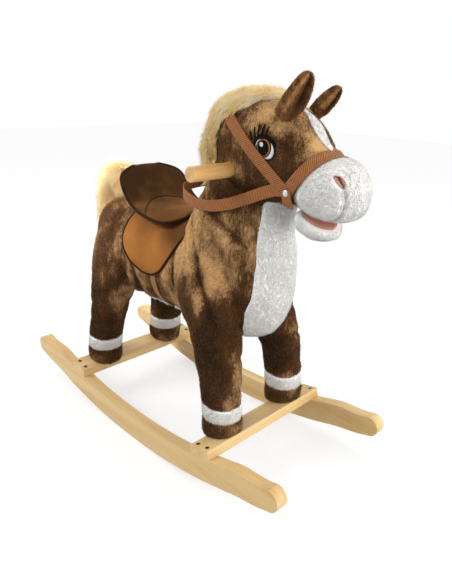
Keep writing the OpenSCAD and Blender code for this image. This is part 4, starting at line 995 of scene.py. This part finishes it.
# ---- embroidered eyes, in layers; sizes run forwards and up from the eye's middle
eyeSet = {
    "middle": (-202, 525), "out": 75, "around": 44, "sink": -0.3, "layers": [
        # name, thread, middle, half size, tilt, height
        ("eyeOutline", stitchBlack, (0, 0.6), (20, 15.8), -36, 0.9),
        ("eyeWhite", stitchWhite, (0.8, -0.8), (15.6, 11.8), -34, 1.2),
        ("eyeRim", stitchBlack, (-0.8, 0.4), (12.2, 12.6), 8, 1.5),
        ("eyeRing", stitchAmber, (-0.8, 0.4), (10.4, 11.2), 8, 1.8),
        ("eyePupil", stitchBlack, (-1.2, 0.6), (9.0, 10.1), 8, 2.1),
        ("eyeGlint", stitchWhite, (-4.0, 4.6), (2.8, 3.2), 0, 2.4)]}
lashSet = {"half": (1.25, 0.5), "around": 8, "steps": 12, "curl": 0.18, "height": 1.4, "rows": [
    # forwards, up, length, lean
    (-20.5, 9.0, 13, -0.6), (-16.4, 12.2, 15, -0.42), (-11.6, 14.8, 15, -0.24), (-6.4, 16.4, 14, -0.06),
    (-1.0, 16.6, 11, 0.1)]}


def eyePlace(side, forward, up):
    y, z = eyeSet["middle"]
    return np.stack([side * eyeSet["out"] + 0 * forward, y - forward, z + up], -1)


def makePatch(side, middle, half, tilt, height):
    s = np.linspace(0.03, 1, 9)[:, None]
    a = turns(eyeSet["around"])
    t = math.radians(tilt)
    f, u = half[0] * s * np.cos(a), half[1] * s * np.sin(a)
    grid = eyePlace(side, middle[0] + f * math.cos(t) - u * math.sin(t), middle[1] + f * math.sin(t) + u * math.cos(t))
    grid = np.concatenate([grid, grid[::-1] + [side * 1e-3, 0, 0]])
    low = eyeSet["sink"]
    edge = np.repeat(np.concatenate([0 * s[:, 0] + low, (height - 0.35 * s[:, 0] ** 6)[::-1]]), eyeSet["around"])
    return layOn(ringSkin("patchPart", grid * mm), coat, 0, side, np.concatenate([edge, [low, height]]))


def makeLash(side, forward, up, length, lean):
    steps, count, height = (lashSet[key] for key in ("steps", "around", "height"))
    t = np.linspace(0, 1, steps)
    ahead = forward + length * (np.sin(lean) * t + lashSet["curl"] * t**2)
    path = eyePlace(side, ahead, up + length * np.cos(lean) * t)
    piece = sweep("lashPart", path * mm, *(half * mm for half in lashSet["half"]), count, side=[0, 1, 0] + 0 * path)
    section = np.tile(np.sin(turns(count)), steps)
    lift = np.concatenate([height + 0.5 * np.abs(section) + 0.1 * section, [height, height]])
    return layOn(piece, coat, 0, side, lift)


for number, (name, thread, *shape) in enumerate(eyeSet["layers"]):
    patches = [makePatch(side, *shape) for side in (-1, 1)]
    dress(merged(name, patches), thread, "eye_stitching", ["eyes"] if number == 0 else ())
lashes = [makeLash(side, *lash) for side in (-1, 1) for lash in lashSet["rows"]]
dress(merged("eyeLashes", lashes), stitchBlack, "eye_stitching")
print("ears and eyes made")


# ---- saddle: draped flaps, padded seat and bound edges

saddleSet = {"middle": 26, "length": 146, "gap": 0.8, "thick": 2.4, "binding": (3.0, 2.1), "flapGrid": (46, 110),
             "span": 0.53, "centre": (0, 0.026, 0.312), "shadeTop": (346, 40), "shadeFront": (14, -50),
             "shadeFrontTop": (330, 30), "shadeRim": (316, -20),
             "flap": [[-0.53, 392], [-0.5, 372], [-0.37, 334], [-0.23, 306], [-0.08, 294], [0.1, 293], [0.32, 304],
                      [0.48, 326], [0.53, 350]]}
seatSet = {"half": 72, "thick": 9, "grid": (70, 41), "binding": 2.9, "cord": 0.9, "crown": 3.2, "crease": (2.6, 0.018),
           "seam": (0.7, 0.3, 2.2), "shadeBack": (26, 100), "shadeTop": (406, 60),
           # share, place, height, width share, droop, wrap
           "rows": [[0, -20, 403, 0.46, 9, 0], [0.08, -12, 401, 0.74, 12, 0], [0.2, 4, 399, 0.92, 12, 0],
                    [0.4, 36, 398.5, 1, 7, 0], [0.58, 66, 401, 1, 2, 1], [0.7, 87, 408, 1, -2, 4],
                    [0.8, 104, 422, 1, -4, 8], [0.89, 117, 441, 0.95, -3, 8], [0.95, 125, 454, 0.78, 0, 6],
                    [1, 130, 462, 0.42, 1, 2]]}


def trunkAt(y):  # half width, half height and middle height of the trunk at each place
    rows = trunkRows(200)
    order = np.argsort(rows[:, 1])
    return [np.interp(y, rows[order, 1], rows[order, k]) for k in (3, 4, 2)]


def onTrunk(y, a, gap):
    wide, high, middle = trunkAt(y)
    across, rise = (rounded(part(a), 2 / full["trunk"]) for part in (np.cos, np.sin))
    return np.stack([(wide + gap) * across, y, middle + (high + gap) * rise], -1)


def flapLow(f):  # height of the flaps' lower edge at a share of their length
    return np.interp(f, *np.array(saddleSet["flap"], float).T)


def makeFlaps():
    rows, cols = saddleSet["flapGrid"]
    f = np.linspace(-saddleSet["span"], saddleSet["span"], rows)
    y = saddleSet["middle"] + f * saddleSet["length"]
    wide, high, middle = trunkAt(y)
    rise = (flapLow(f) - middle) / (high + 1)
    low = np.arcsin(np.clip(rounded(rise, full["trunk"] / 2), -1, 1))
    a = low[:, None] + (np.pi - 2 * low)[:, None] * np.linspace(0, 1, cols)[None]
    yy = np.repeat(y[:, None], cols, 1)
    wave = softWaves(np.stack([yy, 60 * a, 0 * a], -1).reshape(-1, 3), 70, 6).reshape(a.shape)
    grid = onTrunk(yy, a, saddleSet["gap"] + 0.25 * wave) * mm
    arcs = np.linalg.norm(np.diff(grid, axis=1), axis=-1).sum(1)
    area = float(((arcs[1:] + arcs[:-1]) / 2 * np.diff(y * mm)).sum())
    return grid, (float(arcs.max()), float((y[-1] - y[0]) * mm)), area


flapGrid, flapFlat, flapArea = makeFlaps()
flaps = outwardSheet("saddleFlaps", flapGrid, saddleSet["thick"], None, saddleSet["centre"])
x, y, z = (vertsOf(flaps.data) / mm).T
# painted shade: darker under the seat at the top, at the front near the top and along the lower edge
top, front, frontTop, rim = (ramp(v, *saddleSet[key]) for v, key in (
    (z, "shadeTop"), (y, "shadeFront"), (z, "shadeFrontTop"), (z, "shadeRim")))
markPile(flaps, 0.35 - 0.85 * top - 0.5 * front * frontTop - 0.3 * rim)
dress(flaps, flapSuede, "flap_suede", ["saddle_pad"])


def rimOf(grid):
    return np.concatenate([grid[0, :-1], grid[:-1, -1], grid[-1, :0:-1], grid[:0:-1, 0]])


def evenLoop(points, count, rounds=3):  # a closed loop at even steps, its corners rounded
    for _ in range(rounds):
        points = 0.25 * np.roll(points, 1, 0) + 0.5 * points + 0.25 * np.roll(points, -1, 0)
    closed = np.concatenate([points, points[:1]])
    along = lengthAlong(closed)
    at = np.linspace(0, along[-1], count, endpoint=False)
    return np.stack([np.interp(at, along, closed[:, k]) for k in range(3)], -1)


def bound(name, path, half):  # a binding round a closed edge
    dress(sweep(name, path, *(h * mm for h in half), 12, closed=True), bindingTape, "saddle_suede")


rimPath = evenLoop(rimOf(flapGrid), 400)
rimPath = rimPath + unit((rimPath - saddleSet["centre"]) * [1, 0, 1]) * (saddleSet["thick"] * 0.5) * mm
bound("flapBinding", rimPath, saddleSet["binding"])
acrossSeat = np.sin(np.linspace(-np.pi / 2, np.pi / 2, seatSet["grid"][1]))


def seamAt(u):  # share of the seat's length at which the seam lies, bowed forward at both sides
    middle, bow, power = seatSet["seam"]
    return middle - bow * np.abs(u) ** power


def makeSeat():
    v = np.linspace(0, 1, seatSet["grid"][0])
    key, *columns = smoothRows(seatSet["rows"], 400).T
    y, z, wide, droop, wrap = (np.interp(v, key, c)[:, None] for c in columns)
    u = acrossSeat
    ease = clamp((v - 0.5) * 3)[:, None]
    ease = ease**2 * (3 - 2 * ease)
    thick = seatSet["thick"]

    def face(low):
        edge = (1 - np.abs(u) ** 3) * clamp(np.minimum(v, 1 - v) * 14)[:, None] ** 0.5
        depth, width = seatSet["crease"]
        crown = 0 if low else seatSet["crown"] * edge
        seam = 0 if low else -depth * bell(v[:, None] - seamAt(u), width) * edge
        back = (crown + seam) * ease
        up = (crown + seam) * (1 - 0.8 * ease)
        x = u * wide * seatSet["half"]
        yy = y - wrap * u**2 + low * 0.6 * ease * thick * (1 - 0.7 * u**2) - 0.55 * back
        zz = z - droop * u**2 - low * (0.35 + 0.65 * (1 - u**2)) * thick + up * 0.6
        return np.stack([x, yy, zz], -1)

    top, bottom = face(0), face(1)
    grid = np.concatenate([top, bottom[:, ::-1][:, 1:-1]], axis=1)
    return ringSkin("saddleSeat", grid * mm), top * mm, bottom * mm


seat, seatTop, seatBottom = makeSeat()
x, y, z = (vertsOf(seat.data) / mm).T
# painted shade: darker towards the raised back and its top, and there darker on the side away from the lamps (+x) than
# on the lamp side
share = ramp(y, *seatSet["shadeBack"]) + ramp(z, *seatSet["shadeTop"])
markPile(seat, 0.1 - 0.6 * clamp(share * 1.6) - 0.2 * np.clip(x / 60, -1, 1) * (share > 0.4))
dress(seat, seatSuede, "saddle_suede", ["saddle_seat"])
bound("seatBinding", evenLoop(0.5 * (rimOf(seatTop) + rimOf(seatBottom)), 420, 4), [seatSet["binding"]] * 2)
at = seamAt(acrossSeat) * (seatSet["grid"][0] - 1)
low, column = at.astype(int), np.arange(len(at))
seamLine = seatTop[low, column] + (at - low)[:, None] * (seatTop[low + 1, column] - seatTop[low, column])
seatSeam = smoothRows(seamLine[1:-1] + [0, -0.0006, 0.0004], 60)
dress(sweep("seatSeam", seatSeam, seatSet["cord"] * mm, seatSet["cord"] * mm, 8), bindingTape, "saddle_suede")


# ---- girth strap and bridle webbing

girthSet = {"turn": (-196, 16), "grid": (150, 9), "gap": 0.6, "thick": 1.6, "centre": (0, 0.014, 0.31)}
bridleSet = {
    "rivet": (-241, 471), "wide": 17, "thick": 1.4, "grid": (161, 7), "centre": (0, -0.17, 0.5), "straps": [
        # name, node, turn, start along, reach, half width of the run, gap over the cloth
        ("headstallStrap", "headstall", 39, 1.5, 188, 66, 0.7), ("nosebandStrap", "noseband", 127.5, 4, 80, 64, 0.5)],
    "chin": [[49.4, -241, 474], [49, -242.5, 466], [47.4, -243.5, 458], [43.5, -242, 452.4], [34, -232, 449.4],
             [17, -219, 448], [0, -214, 446.2]],
    # out, radius
    "rivetRows": [[0, 4.6], [0.5, 4.7], [0.9, 4.3], [1.1, 3.6], [1.6, 3.1], [2.1, 2.1], [2.35, 0.3]]}


# A strip of webbing with its own map, in millimetres along its middle and across it
def webStrip(name, grid, across, settings, material, node):
    along = lengthAlong(grid[:, grid.shape[1] // 2]) / mm
    uv = np.stack(np.broadcast_arrays(along[:, None], across), -1)
    strip = outwardSheet(name, grid, settings["thick"], uv, settings["centre"])
    return dress(strip, material, "webbing", [node])


def makeGirth():
    (y0, wide), (rows, cols) = bellySet["girth"], girthSet["grid"]
    a = np.linspace(*(math.radians(t) for t in girthSet["turn"]), rows)
    aa, yy = np.meshgrid(a, y0 + np.linspace(-wide / 2, wide / 2, cols), indexing="ij")
    return webStrip("girthStrap", onTrunk(yy, aa, girthSet["gap"]) * mm, yy - y0, girthSet, girthWeb, "girth_strap")


def makeStrap(name, node, turn, start, reach, half, gap):
    t = math.radians(turn)
    rows, cols = bridleSet["grid"]
    ahead, across = np.array([0, math.cos(t), math.sin(t)]), np.array([0, -math.sin(t), math.cos(t)])
    a = np.linspace(0, np.pi, rows)
    run = (start + (reach - start) * np.abs(np.sin(a)) ** 0.9)[:, None] * ahead
    side = (-half * rounded(np.cos(a), 0.55))[:, None] * np.array([1, 0, 0])
    w = np.linspace(-bridleSet["wide"] / 2, bridleSet["wide"] / 2, cols)
    grid = (np.array([0, *bridleSet["rivet"]]) + run + side)[:, None] + w[None, :, None] * across
    flat = meshFrom("strapPart", grid.reshape(-1, 3) * mm, [gridQuads(rows, cols, False)])
    held = vertsOf(wrapOn(flat, headShell, gap * mm).data).reshape(rows, cols, 3)
    bpy.data.objects.remove(flat)
    for _ in range(6):
        held[1:-1] = 0.25 * held[:-2] + 0.5 * held[1:-1] + 0.25 * held[2:]
    return webStrip(name, held, w, bridleSet, strapWeb, node)


def makeRivet(side):  # a domed head on a flat flange, turned about the cross axis
    spin = turns(28)
    out, ring = smoothRows(bridleSet["rivetRows"], 22).T[..., None]
    y, z = bridleSet["rivet"]
    held = vertsOf(straps[0].data) / mm
    face = np.abs(held[np.hypot(held[:, 1] - y, held[:, 2] - z) < 6, 0]).max() - 0.2
    grid = np.stack([side * (face + out + 0 * ring * spin), y + ring * np.cos(spin), z + ring * np.sin(spin)], -1)
    return ringSkin("rivetPart", grid * mm)


makeGirth()
shellRows = np.concatenate([headRows, muzzleRows[8:24]])
headShell = ringSkin("headShell", ovalSections(shellRows, 160, 0.5) * mm)
straps = [makeStrap(*row) for row in bridleSet["straps"]]
bpy.data.objects.remove(headShell)
half = smoothRows(bridleSet["chin"], 40) * mm
chinPath = np.concatenate([half * [-1, 1, 1], half[-2::-1]])
chinSide = np.cross(np.gradient(chinPath, axis=0), (chinPath - [0, 0, 0.5]) * [1, 0, 1])
chin = sweep("chinStrap", chinPath, bridleSet["wide"] / 2 * mm, bridleSet["thick"] / 2 * mm, side=chinSide,
             **webSection)
dress(chin, strapWeb, "webbing", ["chin_strap"])
dress(merged("bridleRivets", [makeRivet(side) for side in (-1, 1)]), rivetSteel, "rivet_steel", ["rivets"])
print("saddle and bridle made")


# ---- mane and tail cores

maneSet = {"shrink": 0.62, "rows": [  # place, height, half width, half thickness, turn
    [-212, 576, 14, 6, 118], [-190, 583, 22, 10, 108], [-158, 587, 30, 12, 96], [-124, 584, 33, 14, 84],
    [-95, 571, 33, 18, 58], [-76, 551, 30, 19, 32], [-58, 523, 25, 18, 12], [-53, 502, 21, 18, 2],
    [-57, 474, 16, 15, -6], [-61, 460, 9, 9, -8]]}
tailSet = {"shrink": 0.78, "half": 27, "back": 190, "rows": [
    [0, 394, 0.5, 12, 0], [3, 408, 0.7, 17, -8], [9, 424, 0.86, 20, -22], [21, 433, 0.95, 21, -62],
    [37, 428, 0.98, 20, -108], [48, 409, 1, 21, -142], [54, 382, 0.98, 22, -170], [57, 346, 0.93, 20, -181],
    [55, 308, 0.85, 18, -183], [53, 274, 0.6, 13, -184], [51, 254, 0.25, 6, -184]]}


def makeCore(name, rows, shrink, node, body="horse"):
    grid = ovalSections(rows, 56)
    middle = rows[:, None, :3]
    grid = middle + (grid - middle) * shrink
    wave = softWaves(grid.reshape(-1, 3) * [1, 1, 0.4], 17, 21).reshape(grid.shape[:2])
    grid += unit(grid - middle) * (wave * 1.6)[..., None]
    piece = ringSkin(name, grid * mm)
    # painted highlight where the core's waves bulge out and painted shade in its dips
    markPile(piece, np.concatenate([wave.ravel() * 0.6, [0, 0]]), 0.3)
    dress(piece, blondePile, "fur_blonde", [node], body)
    return piece


y, z, w, h, turn = smoothRows(maneSet["rows"], 60).T
mane = makeCore("maneCore", rowsOf([0, y, z, w, h, turn - 180, 2, 0]), maneSet["shrink"], "mane")
y, z, w, h, turn = smoothRows(tailSet["rows"], 70).T
tailRows = rowsOf([0, y + tailSet["back"], z, w * tailSet["half"], h, turn, 2, 0])
tail = makeCore("tailCore", tailRows, tailSet["shrink"], "tail", "tail")


# ---- fur: closed three-sided tufts, combed along the nap

# A tuft leaves its root, bends from its lift angle towards the cloth and narrows to a tip; ring k of
# n stands at the share k/n of its length and is 1 - (k/n)^1.5 as wide as the root.
def growFur(name, source, count, seed, comb, length, width, lift, spread, keep=None, rings=1, droop=0.0):
    rng = np.random.default_rng(seed)
    mesh = source.data
    verts, normals, tri = vertsOf(mesh), normalsOf(mesh), facesOf(mesh)
    corner = verts[tri]
    area = np.linalg.norm(np.cross(corner[:, 1] - corner[:, 0], corner[:, 2] - corner[:, 0]), axis=1)
    if keep is not None:
        area = area * keep(corner.mean(1) / mm, unit(normals[tri].mean(1)))
    pick = rng.choice(len(tri), count, p=area / area.sum())
    r = np.sqrt(rng.random(count))[:, None]
    q = rng.random(count)[:, None]
    share = np.concatenate([1 - r, r * (1 - q), r * q], 1)
    root = (corner[pick] * share[..., None]).sum(1)
    normal = unit((normals[tri[pick]] * share[..., None]).sum(1))
    # each tuft takes the painted highlight and painted shade of the cloth at its root
    crest = np.zeros(count)
    layer = mesh.attributes.get("crest")
    if layer is not None:
        crest = (readOut(layer.data, "value", 1)[tri[pick], 0] * share).sum(1)
    way = comb(root / mm, normal) + rng.normal(0, spread, (count, 3))
    way = unit(way - normal * (way * normal).sum(1, keepdims=True))
    side = np.cross(normal, way)
    tuft = length * rng.uniform(0.7, 1.15, count)[:, None] * mm
    wide = width * rng.uniform(0.8, 1.2, count)[:, None] * mm
    angle = np.radians(lift * rng.uniform(0.7, 1.3, count))[:, None]
    points, at, step = [], root - normal * 0.4 * mm, 1 / rings
    for k in range(rings):
        t = k / rings
        w = wide * (1 - t**1.5)
        bend = angle * (1 - 0.7 * t)
        up = normal * np.cos(bend) - way * np.sin(bend)
        points += [at - side * w / 2, at + side * w / 2, at + up * w * 0.75]
        run = (way * np.cos(bend) + normal * np.sin(bend)) * tuft * step
        at = at + run - [0, 0, 1] * tuft * droop * step * (t + step)
    points.append(at)
    per = 3 * rings + 1
    faces = [[0, 2, 1]]
    for k in range(rings):
        sides = [(3 * k + i, 3 * k + (i + 1) % 3) for i in range(3)]
        if k < rings - 1:
            faces += [[a, b, b + 3] for a, b in sides] + [[a, b + 3, a + 3] for a, b in sides]
        else:
            faces += [[a, b, per - 1] for a, b in sides]
    faces = np.array(faces)[None] + (np.arange(count) * per)[:, None, None]
    piece = meshFrom(name, np.stack(points, 1).reshape(-1, 3), [faces.reshape(-1, 3)])
    tone = rng.uniform(0.3, 0.75, count)
    rise = np.concatenate([np.repeat(np.arange(rings) / rings, 3), [1.0]])
    markPile(piece, np.repeat(crest, per), (tone[:, None] + 0.25 * (rise - 0.4)[None]).ravel())
    return piece


# Where the coat carries no pile, as it lies under another piece
bareSet = {"strap": (9.5, 445, -70), "eye": 20, "lash": (-188, 552, 24), "stitching": 14, "girth": (7.5, 300),
           "muzzle": (-258, 430), "mouth": (39, -218, 458, -0.1), "halves": -100}


def underStrap(p):  # close in the plane of each strap to its middle line
    reach, low, end = bareSet["strap"]
    near = np.zeros(len(p), bool)
    for _, _, turn, start, *_ in bridleSet["straps"]:
        t = math.radians(turn)
        flat = p[:, 1:] - bridleSet["rivet"]
        across = flat @ [-math.sin(t), math.cos(t)]
        near |= (flat @ [math.cos(t), math.sin(t)] > start - 8) & (np.abs(across) < reach)
    return near & (p[:, 2] > low) & (p[:, 1] < end)


def underSaddle(p):
    f = (p[:, 1] - saddleSet["middle"]) / saddleSet["length"]
    return (np.abs(f) < 0.52) & (p[:, 2] > flapLow(f) + 1)


def onCoat(p, n):
    x, y, z = np.abs(p[:, 0]), p[:, 1], p[:, 2]
    bare = underStrap(p) | underSaddle(p) | onBib(p, n) | onFrontBelly(p, n) | onPocket(p, n) | onBlaze(p, n)
    eye = np.linalg.norm((p - [0, *eyeSet["middle"]])[:, 1:] / [1, 0.92], axis=1)
    lashY, lashZ, reach = bareSet["lash"]
    lash = np.hypot((y - lashY) / reach, (z - lashZ) / reach)
    bare |= ((eye < bareSet["eye"]) | (lash < 1)) & (x > bareSet["stitching"])
    half, top = bareSet["girth"]
    bare |= (np.abs(y - bellySet["girth"][0]) < half) & (z < top)
    front, low = bareSet["muzzle"]
    bare |= (y < front) & (z > low)
    half, front, top, facing = bareSet["mouth"]
    return ~(bare | (x < half) & (y < front) & (z < top) & (n[:, 2] < facing))


def frontHalf(p, n):
    return onCoat(p, n) & (p[:, 1] < bareSet["halves"])


def rearHalf(p, n):
    return onCoat(p, n) & (p[:, 1] >= bareSet["halves"])


# The coat behind this line, place and height, carries long mane hair
fringeSet = [[-202, 596], [-185, 587], [-166, 579], [-145, 570], [-126, 559], [-115, 544], [-112, 522], [-94, 491],
             [-80, 462]]


def underMane(p, n):
    line = np.array(fringeSet, float).T
    return (p[:, 2] > np.interp(p[:, 1] - 9, *line)) & (np.abs(p[:, 0]) < 60)


def onMuzzle(p, n):
    hole = (np.abs(p[:, 0]) - nostrilSet["x"]) ** 2 / 30 + (p[:, 2] - nostrilSet["z"]) ** 2 / 56
    return (hole > 1.1) & (p[:, 2] > lipHeight(pinY - p[:, 1], 2.2)) & (p[:, 1] < -262.5)


def onJaw(p, n):
    return (p[:, 2] < pinZ - lowerSlope * (pinY - p[:, 1]) - 2.0) & (p[:, 1] < -250)


# The nap runs back over the head, down the neck and the legs, and back and down along the trunk
combSet = {"headStart": (470, 40), "legStart": (270, -50), "trunk": (0, 0.75, -0.65), "head": (0, 0.9, -0.25),
           "leg": (0, 0.05, -1.0)}


def combCoat(p, n):
    head, leg = (ramp(p[:, 2], *combSet[key])[:, None] for key in ("headStart", "legStart"))
    trunkWay, headWay, legWay = (np.array(combSet[key]) for key in ("trunk", "head", "leg"))
    return trunkWay * (1 - head - leg) + headWay * head + legWay * leg


# A comb with fixed shares outwards, back and up; the share outwards grows over the ramp if one is given
def combOf(out, back, up, ramp=None):
    def comb(p, n):
        away = np.clip(p[:, 0] / ramp, -1, 1) if ramp else np.sign(p[:, 0])
        return np.stack([out * away, back + 0 * p[:, 1], up + 0 * p[:, 1]], -1)
    return comb


combDown, combFace, combEar = combOf(0, 0, -1.0), combOf(0.4, 0.9, -0.5), combOf(0, -0.6, 0.8)
combMane, combFringe = combOf(0.55, 0.6, -0.5, 14), combOf(0.3, 0.35, -0.9)
furKinds = {"brown": (brownFur, "plush_brown"), "white": (whiteFur, "plush_white"), "ear": (earPile, "plush_brown"),
            "blonde": (blondeFur, "fur_blonde")}
furSet = [  # name, source, kind, count, seed, comb, length, width, lift, spread, kept part, rings, droop
    ("coatFurFront", coat, "brown", 46000, 11, combCoat, 5.0, 0.8, 24, 0.28, frontHalf),
    ("coatFurRear", coat, "brown", 46000, 12, combCoat, 5.0, 0.8, 24, 0.28, rearHalf),
    ("bibFur", bib, "white", 16000, 13, combDown, 6.0, 0.8, 30, 0.35, lambda p, n: n[:, 1] < 0.2),
    ("muzzleFur", muzzle, "white", 14000, 14, combFace, 5.0, 0.7, 30, 0.35, onMuzzle),
    ("jawFur", jaw, "white", 5000, 15, combFace, 5.0, 0.7, 30, 0.35, onJaw),
    ("blazeFur", blaze, "white", 1800, 16, combCoat, 4.5, 0.7, 24, 0.3),
    ("bellyFur", belly, "white", 2600, 17, combCoat, 5.0, 0.8, 26, 0.3, lambda p, n: n[:, 2] < 0),
    ("pocketFur", pocket, "white", 2000, 18, combCoat, 5.0, 0.8, 26, 0.3, lambda p, n: n[:, 2] < 0),
    ("earFurRight", ears[0], "ear", 4200, 19, combEar, 3.6, 0.7, 24, 0.4),
    ("earFurLeft", ears[1], "ear", 3600, 20, combEar, 3.6, 0.7, 24, 0.4),
    ("maneFur", mane, "blonde", 19500, 21, combMane, 21, 1.0, 32, 0.25, None, 2, 0.14),
    ("maneFringe", coat, "blonde", 9000, 41, combFringe, 19, 1.0, 26, 0.25, underMane, 2, 0.14),
    ("tailFur", tail, "blonde", 11500, 22, lambda p, n: np.array([0, 0.2, -1.0]) + 0.2 * n, 26, 1.2, 30, 0.25,
     lambda p, n: p[:, 2] > 262, 3, 0.1)]
for word in ("frontCuffs", "frontHooves", "rearCuffs", "rearHooves"):
    kind, count = ("white", 6500) if "Cuffs" in word else ("brown", 7000)
    furSet.append((word + "Fur", bpy.data.objects[word], kind, count, 23 + len(furSet), combDown, 4.8, 0.8, 28, 0.3,
                   lambda p, n: np.abs(n[:, 2]) < 0.75))
faceCount = 0
for name, source, kind, *growth in furSet:
    made = growFur(name, source, *growth)
    dress(made, *furKinds[kind], (), {"jawFur": "jaw", "tailFur": "tail"}.get(name, "horse"))
    faceCount += len(made.data.polygons)
print("fur grown,", faceCount, "faces")


# ---- the frame model's own pieces

nodeFinish = {
    rockerWood: ["rocker_right", "rocker_left"], crossbarWood: ["front_crossbar", "rear_crossbar"],
    screwSteel: ["crossbar_screws", "post_screws", "frame_screws"], handleWood: ["handle_bar"],
    frameWood: ["front_right_post", "front_left_post", "rear_right_post", "rear_left_post", "front_bolster",
                "rear_bolster", "spine_board", "neck_post"],
    drivePlastic: ["head_bracket", "jaw_motor", "tail_motor", "sound_module", "battery_box", "battery_cover",
                   "tail_peg"],
    pinSteel: ["jaw_pin", "jaw_lever"], cellMetal: ["battery_cells"],
    buttonRed: ["sound_button"]}
for material, nodes in nodeFinish.items():
    for node in nodes:
        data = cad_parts[node].data
        data.materials.clear()
        data.materials.append(material)


# ---- floor, backdrop and lights

stageSet = {"half": 6, "colour": (0.46, 0.46, 0.46, 1), "grain": 60.0, "glow": 0.58, "sky": (0.8, 0.2)}
corners = np.array([(-1, -1, 0), (1, -1, 0), (1, 1, 0), (-1, 1, 0)], float) * stageSet["half"]
floor = meshFrom("studioFloor", corners, [np.array([[0, 1, 2, 3]])])
material, d, shader = newMaterial("studioFloor", {"Roughness": 0.9, "Specular IOR Level": 0.1,
                                                  "Emission Color": (1, 1, 1, 1)})
darker = tuple(0.98 * c for c in stageSet["colour"][:3]) + (1.0,)
d.fill(shader.inputs["Base Color"], d.mix(d.noise(d.place(), stageSet["grain"]), stageSet["colour"], darker))
d.fill(shader.inputs["Emission Strength"], d.times(d.seen(), stageSet["glow"]))
floor.data.materials.append(material)
world = bpy.data.worlds.new("studioWorld")
scene.world = world
world.use_nodes = True
world.node_tree.nodes.clear()
d = Desk(world.node_tree)
always, extra = stageSet["sky"]
strength = d.total(always, d.times(d.seen(), extra))
background = d.node("Background", {"Color": (1, 1, 1, 1), "Strength": strength}).outputs[0]
d.node("OutputWorld", {"Surface": background})

lampSet = {  # place, target, size, power, spread
    "keyLight": ((-1.6, 1.0, 1.5), (0, 0, 0.3), 0.8, 18, math.pi),
    "frontLight": ((0.1, -2.4, 0.4), (0, 0, 0.35), 1.1, 24, math.pi),
    "sideLight": ((1.3, -1.8, 1.2), (0, 0, 0.35), 1.1, 10, math.pi),
    "rearFill": ((-0.9, 0.45, 1.0), (-0.02, 0.3, 0.5), 0.3, 1.0, 0.6),
    "topLight": ((0.7, -0.4, 2.4), (0, 0, 0.3), 1.2, 6, math.pi)}
for name, (place, target, size, power, spread) in lampSet.items():
    data = bpy.data.lights.new(name, "AREA")
    data.shape = "DISK"
    data.size = size
    data.energy = power
    data.spread = spread
    away = np.array(target, float) - place
    lamp = bpy.data.objects.new(name, data)
    lamp.location = place
    lamp.rotation_euler = (math.acos(-away[2] / np.linalg.norm(away)), 0, math.atan2(-away[0], away[1]))
    scene.collection.objects.link(lamp)
